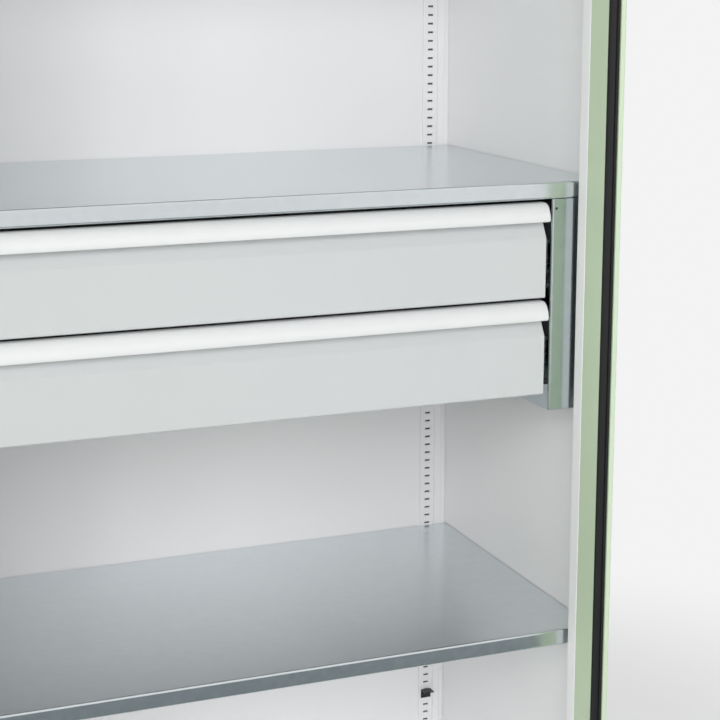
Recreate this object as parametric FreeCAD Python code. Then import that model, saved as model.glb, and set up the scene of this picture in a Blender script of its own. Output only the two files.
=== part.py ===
"""Heavy-duty storage cabinet with shelves, a hanging unit of two drawers and a sealed overlay door.

Frame: +X to the cabinet's right, +Y to its back, +Z up, in millimetres. The origin lies on the floor,
in the middle of the front plinth rail, in the plane of the shelves' front edges.
The door stands open, as in use. It is drawn shut and then swung about its hinge line.
"""
import FreeCAD, Part
import math
import os
from FreeCAD import Vector

# Carcase
INNER_WIDTH = 926.0
HEIGHT = 1950.0
INNER_DEPTH = 468.0
CARCASE_SHEET = 2.0
BACK_SHEET = 1.5
BEND = 1.2
FIT = 0.3
JAMB_WIDTH = 39.0
JAMB_FRONT = 28.0
JAMB_BACK = 6.7
REAR_RETURN = 15.0
FLOOR_TOP = 143.0
FLOOR_SKIRT = 25.0

# Plinth
PLINTH_HEIGHT = 100.0
PLINTH_INSET = 8.0
PLINTH_FLANGE = 40.0
PLINTH_SHEET = 2.0

# Collar round the doorway, with its rubber seal
COLLAR_WIDTH = 21.0
COLLAR_DEPTH = 46.5
COLLAR_WALL = 1.5
SEAL_WIDTH = 15.0
SEAL_THICKNESS = 4.5
SEAL_EDGE_DROP = 1.5

# Slotted uprights and shelf clips
UPRIGHT_WIDTH = 23.0
UPRIGHT_RISE = 3.0
UPRIGHT_FLANGE = 12.0
UPRIGHT_SHEET = 1.2
UPRIGHT_MARGIN = 8.0
UPRIGHT_CORNER = 31.5
FRONT_UPRIGHT_Y = 14.0
SLOT_PITCH = 12.5
SLOT_WIDTH = 8.0
SLOT_HEIGHT = 2.7
FIRST_SLOT_Z = 200.0
CLIP_WIDTH = 16.0
CLIP_REACH = 15.0
CLIP_DROP = 14.0
CLIP_SHEET = 1.5
CLIP_TONGUE_WIDTH = 7.0
CLIP_HOOK_DROP = 3.0
CLIP_HOOK_SHEET = 1.0

# Shelves, each placed by the slot that its clips sit in
SHELF_SHEET = 1.5
SHELF_EDGE = 21.0
SHELF_RETURN = 15.0
SHELF_GAP = 1.5
SHELF_BACK_GAP = 1.5
TOP_SHELF_SLOT = 106
UPPER_SHELF_SLOT = 74
LOWER_SHELF_SLOT = 27
SPARE_CLIP_SLOT = 7

# Drawer unit hung under the upper shelf
HOUSING_INSET = 71.6
HOUSING_SHEET = 1.5
HOUSING_DROP = 269.0
HOUSING_BACK_GAP = 5.0
HOUSING_TOP_FLANGE = 30.0
HOUSING_WALL_GAP = 5.0
TIE_HEIGHT = 40.0
TIE_RETURN = 11.5
RIVET_HOLE_RADIUS = 1.6
RIVET_HOLE_IN = 6.0
RIVET_HOLE_DOWN = 12.0
DRAWER_COUNT = 2
DRAWER_FRONT_HEIGHT = 120.0
DRAWER_GAP = 4.0
DRAWER_SIDE_GAP = 7.4
DRAWER_SHEET = 1.5
DRAWER_BACK_GAP = 36.0
TRAY_LOW = 8.0
TRAY_SIDE_HEIGHT = 84.0
FRONT_BACKSET = 12.0
FRONT_WALL_DROP = 1.0
SLOPE_HEIGHT = 22.0
HANDLE_HEIGHT = 22.7
HANDLE_LIP = 11.3
HANDLE_TOP_Y = 2.0
HANDLE_CAP = 1.5
HANDLE_WALL = 1.8
NOSE_BULGE = (3.2, 7.0)
FRONT_SEAT_DEPTH = 3.0

# Telescopic slides
SLIDE_HEIGHT = 42.0
SLIDE_WIDTH = 12.7
SLIDE_BACK_GAP = 1.0
SLIDE_OUTER_LIP = 8.7
SLIDE_INNER_LIP = 8.5
SLIDE_SHEET = 1.2
SLIDE_RUN = 0.4
SLIDE_FRONT_Y = 16.0

# Door leaf
DOOR_SHEET = 1.5
DOOR_GAP = 3.0
DOOR_EDGE_GAP = 1.0
DOOR_REST_ANGLE = 90.0
STIFFENER_WIDTH = 70.0
STIFFENER_DEPTH = 15.0
STIFFENER_FOOT = 14.0
STIFFENER_SLANT = 4.0
STIFFENER_X = (-260.0, 60.0)

# Hinges
HINGE_HEIGHTS = (320.0, 1025.0, 1730.0)
HINGE_OFFSET = 7.0
HINGE_BARREL = 6.0
HINGE_PIN = 3.5
HINGE_PIN_RUN = 0.05
HINGE_HALF_LENGTH = 32.0
HINGE_MIDDLE = 11.0
HINGE_RUN = 0.2
HINGE_PLATE = 2.0
HINGE_PLATE_WIDTH = 34.0
HINGE_PIN_HEAD = 3.0
HINGE_PIN_HEAD_RADIUS = 5.5
HINGE_NECK = 3.0
HINGE_PLATE_LAP = 1.0

# Rod lock
LOCK_EDGE = 60.0
LOCK_HEIGHT = 1050.0
ROD_RADIUS = 5.0
ROD_TIP_GAP = 5.0
ROD_TRAVEL = 18.0
ROD_RUN = 0.3
ROD_HOLE_RUN = 0.7
CRANK_PIN = 3.0
CRANK_DISC = 20.0
CRANK_DISC_THICK = 4.0
CRANK_STANDOFF = 5.0
YOKE_THICK = 4.0
YOKE_WIDTH = 19.0
YOKE_END = 7.0
YOKE_NECK = 30.0
YOKE_SLOT_RUN = 0.6
YOKE_LAYER_GAP = 1.0
YOKE_SHOULDER = 12.0
CRANK_PIN_END = 1.0
LOCK_CASE_WIDTH = 64.0
LOCK_CASE_HEIGHT = 128.0
LOCK_CASE_DEPTH = 20.5
LOCK_CASE_SHEET = 1.5
LOCK_EAR = 14.0
LOCK_WAY_RUN = 1.0
LOCK_SCREW_INSET = 9.0
GUIDE_HEIGHT = 16.0
GUIDE_WIDTH = 24.0
GUIDE_WALL = 3.0
GUIDE_ROUNDING = 4.0
GUIDE_SHARES = (0.2, 0.8)
SPINDLE_RADIUS = 6.0
BUSH_RADIUS = 11.0
BUSH_FLANGE = 15.0
BUSH_FLANGE_THICK = 2.0
RUN = 0.08
ESCUTCHEON_RADIUS = 26.0
ESCUTCHEON_THICK = 4.0
ESCUTCHEON_CHAMFER = 1.5
GRIP_BASE_RADIUS = 18.0
GRIP_BASE_DEPTH = 14.0
GRIP_WING_LENGTH = 78.0
GRIP_WING_WIDTH = 16.0
GRIP_WING_DEPTH = 26.0
GRIP_WING_BACK = 6.0
GRIP_WING_END = 0.75
GRIP_WING_WAIST = 1.35
GRIP_END_ROUNDING = 5.0
GRIP_WAIST_ROUNDING = 30.0
PLUG_RADIUS = 7.0
PLUG_DEPTH = 18.0
PLUG_PROUD = 0.8
KEYWAY_WIDTH = 1.8
KEYWAY_HEIGHT = 8.0
KEYWAY_DEPTH = 12.0

# Screws
SCREW_RADIUS = 2.5
SCREW_HEAD_RADIUS = 4.6
SCREW_HEAD_HEIGHT = 2.6

CUT_OVER = 1.0

# Places worked out from the sizes above
HALF = INNER_WIDTH / 2
OUTER_HALF = HALF + CARCASE_SHEET
BACK_Y = INNER_DEPTH + BACK_SHEET + CARCASE_SHEET
LID_UNDER = HEIGHT - CARCASE_SHEET
DOORWAY_HALF = HALF - JAMB_WIDTH
DOORWAY_TOP = LID_UNDER - JAMB_WIDTH
DOORWAY_BOTTOM = FLOOR_TOP
COLLAR_FRONT = -JAMB_FRONT - COLLAR_DEPTH
SEAL_SEAT = COLLAR_FRONT + SEAL_THICKNESS
SKIN_BACK = COLLAR_FRONT - FIT
SKIN_FRONT = SKIN_BACK - DOOR_SHEET
HINGE_X = -OUTER_HALF - HINGE_OFFSET
HINGE_Y = -JAMB_FRONT - DOOR_GAP / 2
SLOT_COUNT = int((DOORWAY_TOP - UPRIGHT_MARGIN - FIRST_SLOT_Z) / SLOT_PITCH)
HOUSING_DEPTH = INNER_DEPTH - HOUSING_BACK_GAP
DRAWER_DEPTH = HOUSING_DEPTH - DRAWER_BACK_GAP - FRONT_BACKSET
SLIDE_LENGTH = HOUSING_DEPTH - DRAWER_BACK_GAP - SLIDE_BACK_GAP - SLIDE_FRONT_Y
HOUSING_FACE = HALF - HOUSING_INSET
DRAWER_HALF = HOUSING_FACE - DRAWER_SIDE_GAP
TRAY_HALF = HOUSING_FACE - SLIDE_WIDTH
DRAWER_PITCH = DRAWER_FRONT_HEIGHT + DRAWER_GAP
LOCK_X = DOORWAY_HALF - LOCK_EDGE
CRANK_RADIUS = ROD_TRAVEL / math.sqrt(2)
DISC_LOW = SKIN_BACK + CRANK_STANDOFF
DISC_HIGH = DISC_LOW + CRANK_DISC_THICK
ROD_Y = DISC_HIGH + YOKE_LAYER_GAP + YOKE_THICK / 2

AXIS_X, AXIS_Y, AXIS_Z = Vector(1, 0, 0), Vector(0, 1, 0), Vector(0, 0, 1)
ORIGIN = Vector(0, 0, 0)
PLACES = {
    "XY": lambda u, v, w: Vector(u, v, w),
    "YZ": lambda u, v, w: Vector(w, u, v),
    "XZ": lambda u, v, w: Vector(u, w, v),
}


def box(x, y, z):
    """A block from three (low, high) pairs."""
    return Part.makeBox(x[1] - x[0], y[1] - y[0], z[1] - z[0], Vector(x[0], y[0], z[0]))


def rod(radius, start, end):
    """A cylinder from one point to another."""
    along = end.sub(start)
    return Part.makeCylinder(radius, along.Length, start, along)


def unit(a, b):
    """The direction from one 2-D point to the next."""
    length = math.hypot(b[0] - a[0], b[1] - a[1])
    return (b[0] - a[0]) / length, (b[1] - a[1]) / length


def corner(before, at, after, radius):
    """The start, middle and end of the arc that rounds one corner of an outline."""
    one, two = unit(before, at), unit(at, after)
    cosine = max(-1.0, min(1.0, one[0] * two[0] + one[1] * two[1]))
    setback = radius * math.tan(math.acos(cosine) / 2)
    start = (at[0] - one[0] * setback, at[1] - one[1] * setback)
    end = (at[0] + two[0] * setback, at[1] + two[1] * setback)
    side = 1 if one[0] * two[1] - one[1] * two[0] > 0 else -1
    centre = (start[0] - side * one[1] * radius, start[1] + side * one[0] * radius)
    out = unit(centre, at)
    middle = (centre[0] + out[0] * radius, centre[1] + out[1] * radius)
    return start, middle, end


def prism(points, plane, low, high, radii=None):
    """A closed outline in one plane, with rounded corners where radii say so, drawn out to a solid."""
    place = PLACES[plane]
    radii = radii or [0.0] * len(points)
    count = len(points)
    stops = []
    for i, radius in enumerate(radii):
        if radius > 0:
            stops.append(corner(points[i - 1], points[i], points[(i + 1) % count], radius))
        else:
            stops.append((points[i], None, points[i]))
    edges = []
    for i, (start, middle, end) in enumerate(stops):
        if middle:
            edges.append(Part.Arc(*(place(*p, low) for p in (start, middle, end))).toShape())
        following = stops[(i + 1) % count][0]
        if math.hypot(following[0] - end[0], following[1] - end[1]) > 1e-6:
            edges.append(Part.LineSegment(place(*end, low), place(*following, low)).toShape())
    face = Part.Face(Part.Wire(edges))
    return face.extrude(place(0, 0, high).sub(place(0, 0, low)))


def sheet(path, thickness, plane, low, high, bend=BEND):
    """Folded sheet metal: an open path with the metal on its left, bent to an inner radius."""
    inner, base_radii, inner_radii = [], [0.0], [0.0]
    one = unit(path[0], path[1])
    inner.append((path[0][0] - one[1] * thickness, path[0][1] + one[0] * thickness))
    for before, at, after in zip(path, path[1:], path[2:]):
        one, two = unit(before, at), unit(at, after)
        share = thickness / (1 + one[0] * two[0] + one[1] * two[1])
        inner.append((at[0] - (one[1] + two[1]) * share, at[1] + (one[0] + two[0]) * share))
        left_turn = one[0] * two[1] - one[1] * two[0] > 0
        tight, wide = (bend, bend + thickness) if bend else (0.0, 0.0)
        base_radii.append(wide if left_turn else tight)
        inner_radii.append(tight if left_turn else wide)
    one = unit(path[-2], path[-1])
    inner.append((path[-1][0] - one[1] * thickness, path[-1][1] + one[0] * thickness))
    base_radii.append(0.0)
    inner_radii.append(0.0)
    return prism(path + inner[::-1], plane, low, high, base_radii + inner_radii[::-1])


def fuse(first, *others):
    """One solid from touching or overlapping pieces, with shared faces merged."""
    return first.fuse(list(others)).removeSplitter()


def mirrored(shape):
    """The same piece on the cabinet's other side."""
    return shape.mirror(ORIGIN, AXIS_X)


def swung(shape):
    """A piece of the door, turned from the shut door to the open one."""
    return shape.rotated(Vector(HINGE_X, HINGE_Y, 0), AXIS_Z, -DOOR_REST_ANGLE)


def group(shapes):
    """Separate solids kept in one node."""
    return Part.makeCompound(shapes)


def screw(seat, into, bite):
    """A pan-head screw: its head's seat, the way that the shank points and how far it goes."""
    head = rod(SCREW_HEAD_RADIUS, seat, seat.sub(into * SCREW_HEAD_HEIGHT))
    shank = rod(SCREW_RADIUS, seat, seat.add(into * bite))
    return fuse(head, shank)


def side_right():
    """The right side wall: jamb return, front flange, wall and rear return in one folded sheet."""
    path = [
        (DOORWAY_HALF, -JAMB_BACK),
        (DOORWAY_HALF, -JAMB_FRONT),
        (OUTER_HALF, -JAMB_FRONT),
        (OUTER_HALF, BACK_Y),
        (HALF - REAR_RETURN, BACK_Y),
    ]
    return sheet(path, CARCASE_SHEET, "XY", PLINTH_HEIGHT, LID_UNDER)


def back_panel():
    """The back sheet, seated on the side walls' rear returns."""
    inside = HALF - FIT - BEND
    low = BACK_Y - CARCASE_SHEET - BACK_SHEET
    return box((-inside, inside), (low, low + BACK_SHEET), (PLINTH_HEIGHT, LID_UNDER))


def top_panel():
    """The lid on the side walls, with the header folded down over the doorway."""
    lid = box((-OUTER_HALF, OUTER_HALF), (-JAMB_FRONT, BACK_Y), (LID_UNDER, HEIGHT))
    inside = DOORWAY_HALF - FIT
    header = [
        (-JAMB_BACK, DOORWAY_TOP),
        (-JAMB_FRONT, DOORWAY_TOP),
        (-JAMB_FRONT, HEIGHT),
    ]
    front = sheet(header[::-1], CARCASE_SHEET, "YZ", -inside, inside)
    rear_inside = HALF - REAR_RETURN - FIT
    rear_face = BACK_Y - CARCASE_SHEET
    rear = box((-rear_inside, rear_inside), (rear_face, BACK_Y), (LID_UNDER - REAR_RETURN, HEIGHT))
    return fuse(lid, front, rear)


def floor_panel():
    """The floor: an inverted tray whose front fold makes the sill."""
    inside = HALF - FIT
    notch = DOORWAY_HALF - FIT
    under = FLOOR_TOP - CARCASE_SHEET
    plate = box((-inside, inside), (-JAMB_BACK + FIT, INNER_DEPTH - FIT), (under, FLOOR_TOP))
    sill_path = [
        (FIT, FLOOR_TOP),
        (-JAMB_FRONT, FLOOR_TOP),
        (-JAMB_FRONT, PLINTH_HEIGHT),
    ]
    sill = sheet(sill_path, CARCASE_SHEET, "YZ", -notch, notch)
    skirts = []
    for low, high in ((-inside, -inside + CARCASE_SHEET), (inside - CARCASE_SHEET, inside)):
        skirts.append(box((low, high), (FIT, INNER_DEPTH - FIT), (FLOOR_TOP - FLOOR_SKIRT, FLOOR_TOP)))
    back = INNER_DEPTH - FIT
    rear = box((-inside, inside), (back - CARCASE_SHEET, back), (PLINTH_HEIGHT, FLOOR_TOP))
    return fuse(plate, sill, rear, *skirts)


def plinth():
    """Four folded rails that carry the carcase and stand on the floor."""
    half = OUTER_HALF - PLINTH_INSET
    front = -PLINTH_FLANGE / 2
    back = BACK_Y - PLINTH_INSET
    across = {
        "plinth_front": [(front + PLINTH_FLANGE, 0), (front, 0), (front, PLINTH_HEIGHT),
                         (front + PLINTH_FLANGE, PLINTH_HEIGHT)],
        "plinth_rear": [(back - PLINTH_FLANGE, PLINTH_HEIGHT), (back, PLINTH_HEIGHT), (back, 0),
                        (back - PLINTH_FLANGE, 0)],
    }
    between = half - PLINTH_SHEET
    rails = {
        name: sheet(path[::-1], PLINTH_SHEET, "YZ", -between, between) for name, path in across.items()
    }
    side = [
        (half - PLINTH_FLANGE, 0),
        (half, 0),
        (half, PLINTH_HEIGHT),
        (half - PLINTH_FLANGE, PLINTH_HEIGHT),
    ]
    right = sheet(side, PLINTH_SHEET, "XZ", front + PLINTH_FLANGE, back - PLINTH_FLANGE)
    web = box((between, half), (front, back), (0, PLINTH_HEIGHT))
    right = fuse(right, web)
    rails["plinth_right"] = right
    rails["plinth_left"] = mirrored(right)
    return rails


def doorway_member(outline, side):
    """One mitred length of a frame round the doorway. The outline holds (distance outwards, y) points."""
    reach = max(u for u, _ in outline)
    low, high = DOORWAY_BOTTOM, DOORWAY_TOP
    front = min(v for _, v in outline)
    back = max(v for _, v in outline)
    if side in ("left", "right"):
        sign = 1 if side == "right" else -1
        bar = prism([(sign * (DOORWAY_HALF + u), v) for u, v in outline], "XY", low - reach, high + reach)
        mitre = [
            (sign * DOORWAY_HALF, low),
            (sign * (DOORWAY_HALF + reach), low - reach),
            (sign * (DOORWAY_HALF + reach), high + reach),
            (sign * DOORWAY_HALF, high),
        ]
    else:
        sign, edge = (1, high) if side == "top" else (-1, low)
        ends = DOORWAY_HALF + reach
        bar = prism([(v, edge + sign * u) for u, v in outline], "YZ", -ends, ends)
        mitre = [
            (-DOORWAY_HALF, edge),
            (-ends, edge + sign * reach),
            (ends, edge + sign * reach),
            (DOORWAY_HALF, edge),
        ]
    return bar.common(prism(mitre, "XZ", front, back))


def rod_hole(side):
    """The way for a lock rod's tip through the inner wall of the collar's top or bottom member."""
    edge = DOORWAY_TOP if side == "top" else DOORWAY_BOTTOM
    sign = 1 if side == "top" else -1
    start = Vector(LOCK_X, ROD_Y, edge - sign * COLLAR_WALL)
    return rod(ROD_RADIUS + ROD_HOLE_RUN, start, Vector(LOCK_X, ROD_Y, edge + sign * 2 * COLLAR_WALL))


def collar():
    """The painted collar: four hollow mitred members with a rebate for the seal and an outer lip."""
    back, wall = -JAMB_FRONT, COLLAR_WALL
    outside = [(0, back), (0, SEAL_SEAT), (SEAL_WIDTH, SEAL_SEAT), (SEAL_WIDTH, COLLAR_FRONT),
               (COLLAR_WIDTH, COLLAR_FRONT), (COLLAR_WIDTH, back)]
    hollow = [(wall, back - wall), (wall, SEAL_SEAT + wall), (SEAL_WIDTH + wall, SEAL_SEAT + wall),
              (SEAL_WIDTH + wall, COLLAR_FRONT + wall), (COLLAR_WIDTH - wall, COLLAR_FRONT + wall),
              (COLLAR_WIDTH - wall, back - wall)]
    members = {}
    for side in ("left", "right", "top", "bottom"):
        member = doorway_member(outside, side).cut(doorway_member(hollow, side))
        if side in ("top", "bottom"):
            member = member.cut(rod_hole(side))
        members["collar_" + side] = member
    return members


def seal():
    """The rubber seal: a ridged strip round the doorway in the collar's rebate."""
    ridge = SEAL_WIDTH / 2
    outline = [(0, SEAL_SEAT), (0, COLLAR_FRONT + SEAL_EDGE_DROP), (ridge, COLLAR_FRONT),
               (SEAL_WIDTH, COLLAR_FRONT + SEAL_EDGE_DROP), (SEAL_WIDTH, SEAL_SEAT)]
    sides = [doorway_member(outline, side) for side in ("left", "right", "top", "bottom")]
    return fuse(*sides)


def slot_z(index):
    """The height of a slot's middle."""
    return FIRST_SLOT_Z + index * SLOT_PITCH


def shelf_top(index):
    """The top of a shelf whose clips sit in this slot."""
    return slot_z(index) + CLIP_SHEET / 2 + SHELF_EDGE


def upright():
    """A slotted hat strip, drawn with its face at y = 0 and its wall at y = UPRIGHT_RISE."""
    half = UPRIGHT_WIDTH / 2
    path = [
        (-half, UPRIGHT_RISE),
        (-half, 0),
        (half, 0),
        (half, UPRIGHT_RISE - UPRIGHT_SHEET),
        (half + UPRIGHT_FLANGE, UPRIGHT_RISE - UPRIGHT_SHEET),
    ]
    low, high = FLOOR_TOP + UPRIGHT_MARGIN, DOORWAY_TOP - UPRIGHT_MARGIN
    strip = sheet(path, UPRIGHT_SHEET, "XY", low, high, bend=0)
    slots = []
    for index in range(SLOT_COUNT):
        middle = slot_z(index)
        slots.append(box((-SLOT_WIDTH / 2, SLOT_WIDTH / 2), (-CUT_OVER, UPRIGHT_SHEET + CUT_OVER),
                         (middle - SLOT_HEIGHT / 2, middle + SLOT_HEIGHT / 2)))
    return strip.cut(slots)


def clip():
    """A shelf clip: ledge, leg, tongue through the slot and hook. Its ledge's top is at z = 0."""
    half, tongue = CLIP_WIDTH / 2, CLIP_TONGUE_WIDTH / 2
    hook_y = UPRIGHT_SHEET + FIT
    hook_end = hook_y + CLIP_HOOK_SHEET
    ledge = box((-half, half), (-CLIP_REACH, 0), (-CLIP_SHEET, 0))
    leg = box((-half, half), (-CLIP_SHEET, 0), (-CLIP_DROP, 0))
    through = box((-tongue, tongue), (-CLIP_SHEET, hook_end), (-CLIP_SHEET, 0))
    hook = box((-tongue, tongue), (hook_y, hook_end), (-CLIP_SHEET - CLIP_HOOK_DROP, 0))
    return fuse(ledge, leg, through, hook)


def at_corners(shape):
    """The same piece on each of the four uprights, by the upright's name."""
    rear_right = shape.translated(Vector(HALF - UPRIGHT_CORNER, INNER_DEPTH - UPRIGHT_RISE, 0))
    turned = shape.rotated(ORIGIN, AXIS_Z, -90)
    front_right = turned.translated(Vector(HALF - UPRIGHT_RISE, FRONT_UPRIGHT_Y, 0))
    return {
        "rear_right": rear_right,
        "rear_left": mirrored(rear_right),
        "front_right": front_right,
        "front_left": mirrored(front_right),
    }


def shelf_clips():
    """Four clips under each shelf."""
    clips = []
    for index in (TOP_SHELF_SLOT, UPPER_SHELF_SLOT, LOWER_SHELF_SLOT):
        height = slot_z(index) + CLIP_SHEET / 2
        clips += at_corners(clip().translated(Vector(0, 0, height))).values()
    return clips


def spare_clip():
    """One clip left in the right rear upright, with no shelf on it."""
    height = slot_z(SPARE_CLIP_SLOT) + CLIP_SHEET / 2
    return at_corners(clip().translated(Vector(0, 0, height)))["rear_right"]


def shelf(index):
    """A galvanised shelf: folded edges all round, returns at front and back, notched at the uprights."""
    top = shelf_top(index)
    under = top - SHELF_EDGE
    half = HALF - SHELF_GAP
    back = INNER_DEPTH - SHELF_BACK_GAP
    path = [
        (back - SHELF_RETURN, under),
        (back, under),
        (back, top),
        (0, top),
        (0, under),
        (SHELF_RETURN, under),
    ]
    tray = sheet(path, SHELF_SHEET, "YZ", -half, half)
    sides = []
    for low, high in ((-half, -half + SHELF_SHEET), (half - SHELF_SHEET, half)):
        sides.append(box((low, high), (BEND + SHELF_SHEET, back - BEND - SHELF_SHEET), (under, top - FIT)))
    notch = UPRIGHT_WIDTH + 2 * SHELF_GAP
    block = box((-notch / 2, notch / 2), (-SHELF_GAP, UPRIGHT_RISE), (under - CUT_OVER, top + CUT_OVER))
    return fuse(tray, *sides).cut(list(at_corners(block).values()))


def upper_shelf():
    """The shelf that carries the drawer unit, bored in its returns for the unit's screws."""
    holes = [
        rod(SCREW_RADIUS + FIT, seat, seat.add(AXIS_Z * (HOUSING_SHEET + SHELF_SHEET + CUT_OVER)))
        for seat in housing_screw_seats()
    ]
    return shelf(UPPER_SHELF_SLOT).cut(holes)


def housing_right():
    """The drawer unit's right side: side plate, post flange at the front and hanging flange on top."""
    top = shelf_top(UPPER_SHELF_SLOT) - SHELF_EDGE
    bottom = top - HOUSING_DROP
    wall_end = HALF - HOUSING_WALL_GAP
    path = [(HOUSING_FACE, HOUSING_DEPTH), (HOUSING_FACE, 0), (wall_end, 0)]
    side = sheet(path, HOUSING_SHEET, "XY", bottom, top)
    flange = box((HOUSING_FACE + BEND, HOUSING_FACE + HOUSING_TOP_FLANGE), (HOUSING_SHEET, HOUSING_DEPTH),
                 (top - HOUSING_SHEET, top))
    rivet = Vector(HOUSING_FACE + RIVET_HOLE_IN, -CUT_OVER, top - RIVET_HOLE_DOWN)
    rivet_hole = rod(RIVET_HOLE_RADIUS, rivet, rivet.add(AXIS_Y * (HOUSING_SHEET + 2 * CUT_OVER)))
    seats = [
        rod(SCREW_RADIUS + FIT, seat.sub(AXIS_Z * CUT_OVER), seat.add(AXIS_Z * (HOUSING_SHEET + CUT_OVER)))
        for seat in housing_screw_seats() if seat.x > 0
    ]
    return fuse(side, flange).cut([rivet_hole] + seats)


def housing_screw_seats():
    """Where the screws that hang the drawer unit from the shelf's returns have their heads."""
    under = shelf_top(UPPER_SHELF_SLOT) - SHELF_EDGE - HOUSING_SHEET
    x = HOUSING_FACE + HOUSING_TOP_FLANGE / 2
    front = SHELF_RETURN / 2 + 1
    rear = INNER_DEPTH - SHELF_BACK_GAP - SHELF_RETURN / 2
    return [Vector(sign * x, y, under) for sign in (-1, 1) for y in (front, rear)]


def housing_tie():
    """The rail that ties the unit's two sides behind the drawers."""
    top = shelf_top(UPPER_SHELF_SLOT) - SHELF_EDGE - DRAWER_GAP
    high = HOUSING_DEPTH - HOUSING_SHEET
    low = high - TIE_RETURN
    path = [(low, top), (high, top), (high, top - TIE_HEIGHT), (low, top - TIE_HEIGHT)]
    return sheet(path[::-1], HOUSING_SHEET, "YZ", -HOUSING_FACE, HOUSING_FACE)


def drawer_top(number):
    """The top of a drawer's front. Drawer 0 is the upper one."""
    return shelf_top(UPPER_SHELF_SLOT) - SHELF_EDGE - DRAWER_GAP - number * DRAWER_PITCH


def handle_section(top, start):
    """The handle strip's section at x = start: a quarter-round nose down to a lip to pull on."""
    low = top - HANDLE_HEIGHT
    nose = (HANDLE_TOP_Y, top), (-HANDLE_LIP, low)
    bulge = (NOSE_BULGE[0] - HANDLE_LIP, top - NOSE_BULGE[1])
    place = PLACES["YZ"]
    arc = Part.Arc(place(*nose[0], start), place(*bulge, start), place(*nose[1], start)).toShape()
    ring = [nose[1], (FRONT_BACKSET, low), (FRONT_BACKSET, top), nose[0]]
    lines = [
        Part.LineSegment(place(*a, start), place(*b, start)).toShape() for a, b in zip(ring, ring[1:])
    ]
    return Part.Face(Part.Wire([arc] + lines))


def drawer_handle(top):
    """The full-width handle strip: a hollow profile between its end caps."""
    half = DRAWER_HALF - HANDLE_CAP
    section = handle_section(top, -half)
    length = AXIS_X * (2 * half)
    return section.extrude(length).cut(section.makeOffset2D(-HANDLE_WALL).extrude(length))


def handle_caps(top):
    """The two caps that close the handle strip's ends."""
    cap = handle_section(top, DRAWER_HALF - HANDLE_CAP).extrude(AXIS_X * HANDLE_CAP)
    return both_sides(cap)


def drawer_front(top):
    """The front panel: slope under the handle, flat face, bottom return and closed ends."""
    low = top - DRAWER_FRONT_HEIGHT
    path = [
        (FRONT_BACKSET, top - HANDLE_HEIGHT),
        (0, top - HANDLE_HEIGHT - SLOPE_HEIGHT),
        (0, low),
        (FRONT_BACKSET, low),
    ]
    skin = sheet(path, DRAWER_SHEET, "YZ", -DRAWER_HALF, DRAWER_HALF)
    bent = BEND + DRAWER_SHEET
    end = prism(path, "YZ", DRAWER_HALF - DRAWER_SHEET, DRAWER_HALF, [0.0, bent, bent, 0.0])
    whole = (-DRAWER_HALF, DRAWER_HALF)
    behind = (FRONT_BACKSET, FRONT_BACKSET + FRONT_SEAT_DEPTH)
    seat = box(whole, (FRONT_BACKSET - FRONT_SEAT_DEPTH, behind[1]), (top - HANDLE_HEIGHT, top))
    beyond = box(whole, behind, (low, top))
    return fuse(skin, end, mirrored(end)).cut([seat, beyond])


def drawer_tray(top):
    """The drawer's tray: a folded box behind the front."""
    low = top - DRAWER_FRONT_HEIGHT + TRAY_LOW
    rim = low + TRAY_SIDE_HEIGHT
    front, back = FRONT_BACKSET, FRONT_BACKSET + DRAWER_DEPTH
    across = [(-TRAY_HALF, rim), (-TRAY_HALF, low), (TRAY_HALF, low), (TRAY_HALF, rim)]
    body = sheet(across, DRAWER_SHEET, "XZ", front, back)
    inside = TRAY_HALF - DRAWER_SHEET / 2
    front_wall = box((-inside, inside), (front, front + DRAWER_SHEET), (low, top - FRONT_WALL_DROP))
    back_wall = box((-inside, inside), (back - DRAWER_SHEET, back), (low, rim))
    return fuse(body, front_wall, back_wall)


def slide_middle_z(top):
    """The height of a drawer's slides."""
    return top - DRAWER_FRONT_HEIGHT + TRAY_LOW + TRAY_SIDE_HEIGHT / 2


def channel(web, reach, half_height, middle):
    """A slide member on the right: web against x = web, flanges reaching by the signed reach."""
    path = [
        (web + reach, middle - half_height),
        (web, middle - half_height),
        (web, middle + half_height),
        (web + reach, middle + half_height),
    ]
    if reach > 0:
        path.reverse()
    return sheet(path, SLIDE_SHEET, "XZ", SLIDE_FRONT_Y, SLIDE_FRONT_Y + SLIDE_LENGTH, bend=0)


def slide_members(top):
    """The outer, middle and inner members of one drawer's right slide."""
    middle = slide_middle_z(top)
    step = SLIDE_SHEET + SLIDE_RUN
    half = SLIDE_HEIGHT / 2
    outer = channel(HOUSING_FACE, -SLIDE_OUTER_LIP, half, middle)
    mid = channel(HOUSING_FACE - step, 2 * step - SLIDE_WIDTH, half - step, middle)
    inner = channel(TRAY_HALF, SLIDE_INNER_LIP, half - 2 * step, middle)
    return outer, mid, inner


def both_sides(shape):
    """A piece and its mirror image in one node."""
    return [shape, mirrored(shape)]


def door_skin():
    """The door's outer sheet: a tray whose folded edges close over the collar."""
    low, high = PLINTH_HEIGHT + DOOR_EDGE_GAP, HEIGHT - DOOR_EDGE_GAP
    edge = -JAMB_FRONT - DOOR_GAP
    path = [(OUTER_HALF, edge), (OUTER_HALF, SKIN_FRONT), (-OUTER_HALF, SKIN_FRONT), (-OUTER_HALF, edge)]
    skin = sheet(path[::-1], DOOR_SHEET, "XY", low, high)
    ends = []
    for bottom in (low, high - DOOR_SHEET):
        ends.append(box((-OUTER_HALF + DOOR_SHEET / 2, OUTER_HALF - DOOR_SHEET / 2),
                        (SKIN_FRONT + DOOR_SHEET / 2, edge), (bottom, bottom + DOOR_SHEET)))
    hole = rod(BUSH_RADIUS + FIT, lock_point(SKIN_FRONT - CUT_OVER), lock_point(SKIN_BACK + CUT_OVER))
    return fuse(skin, *ends).cut(hole)


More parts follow.
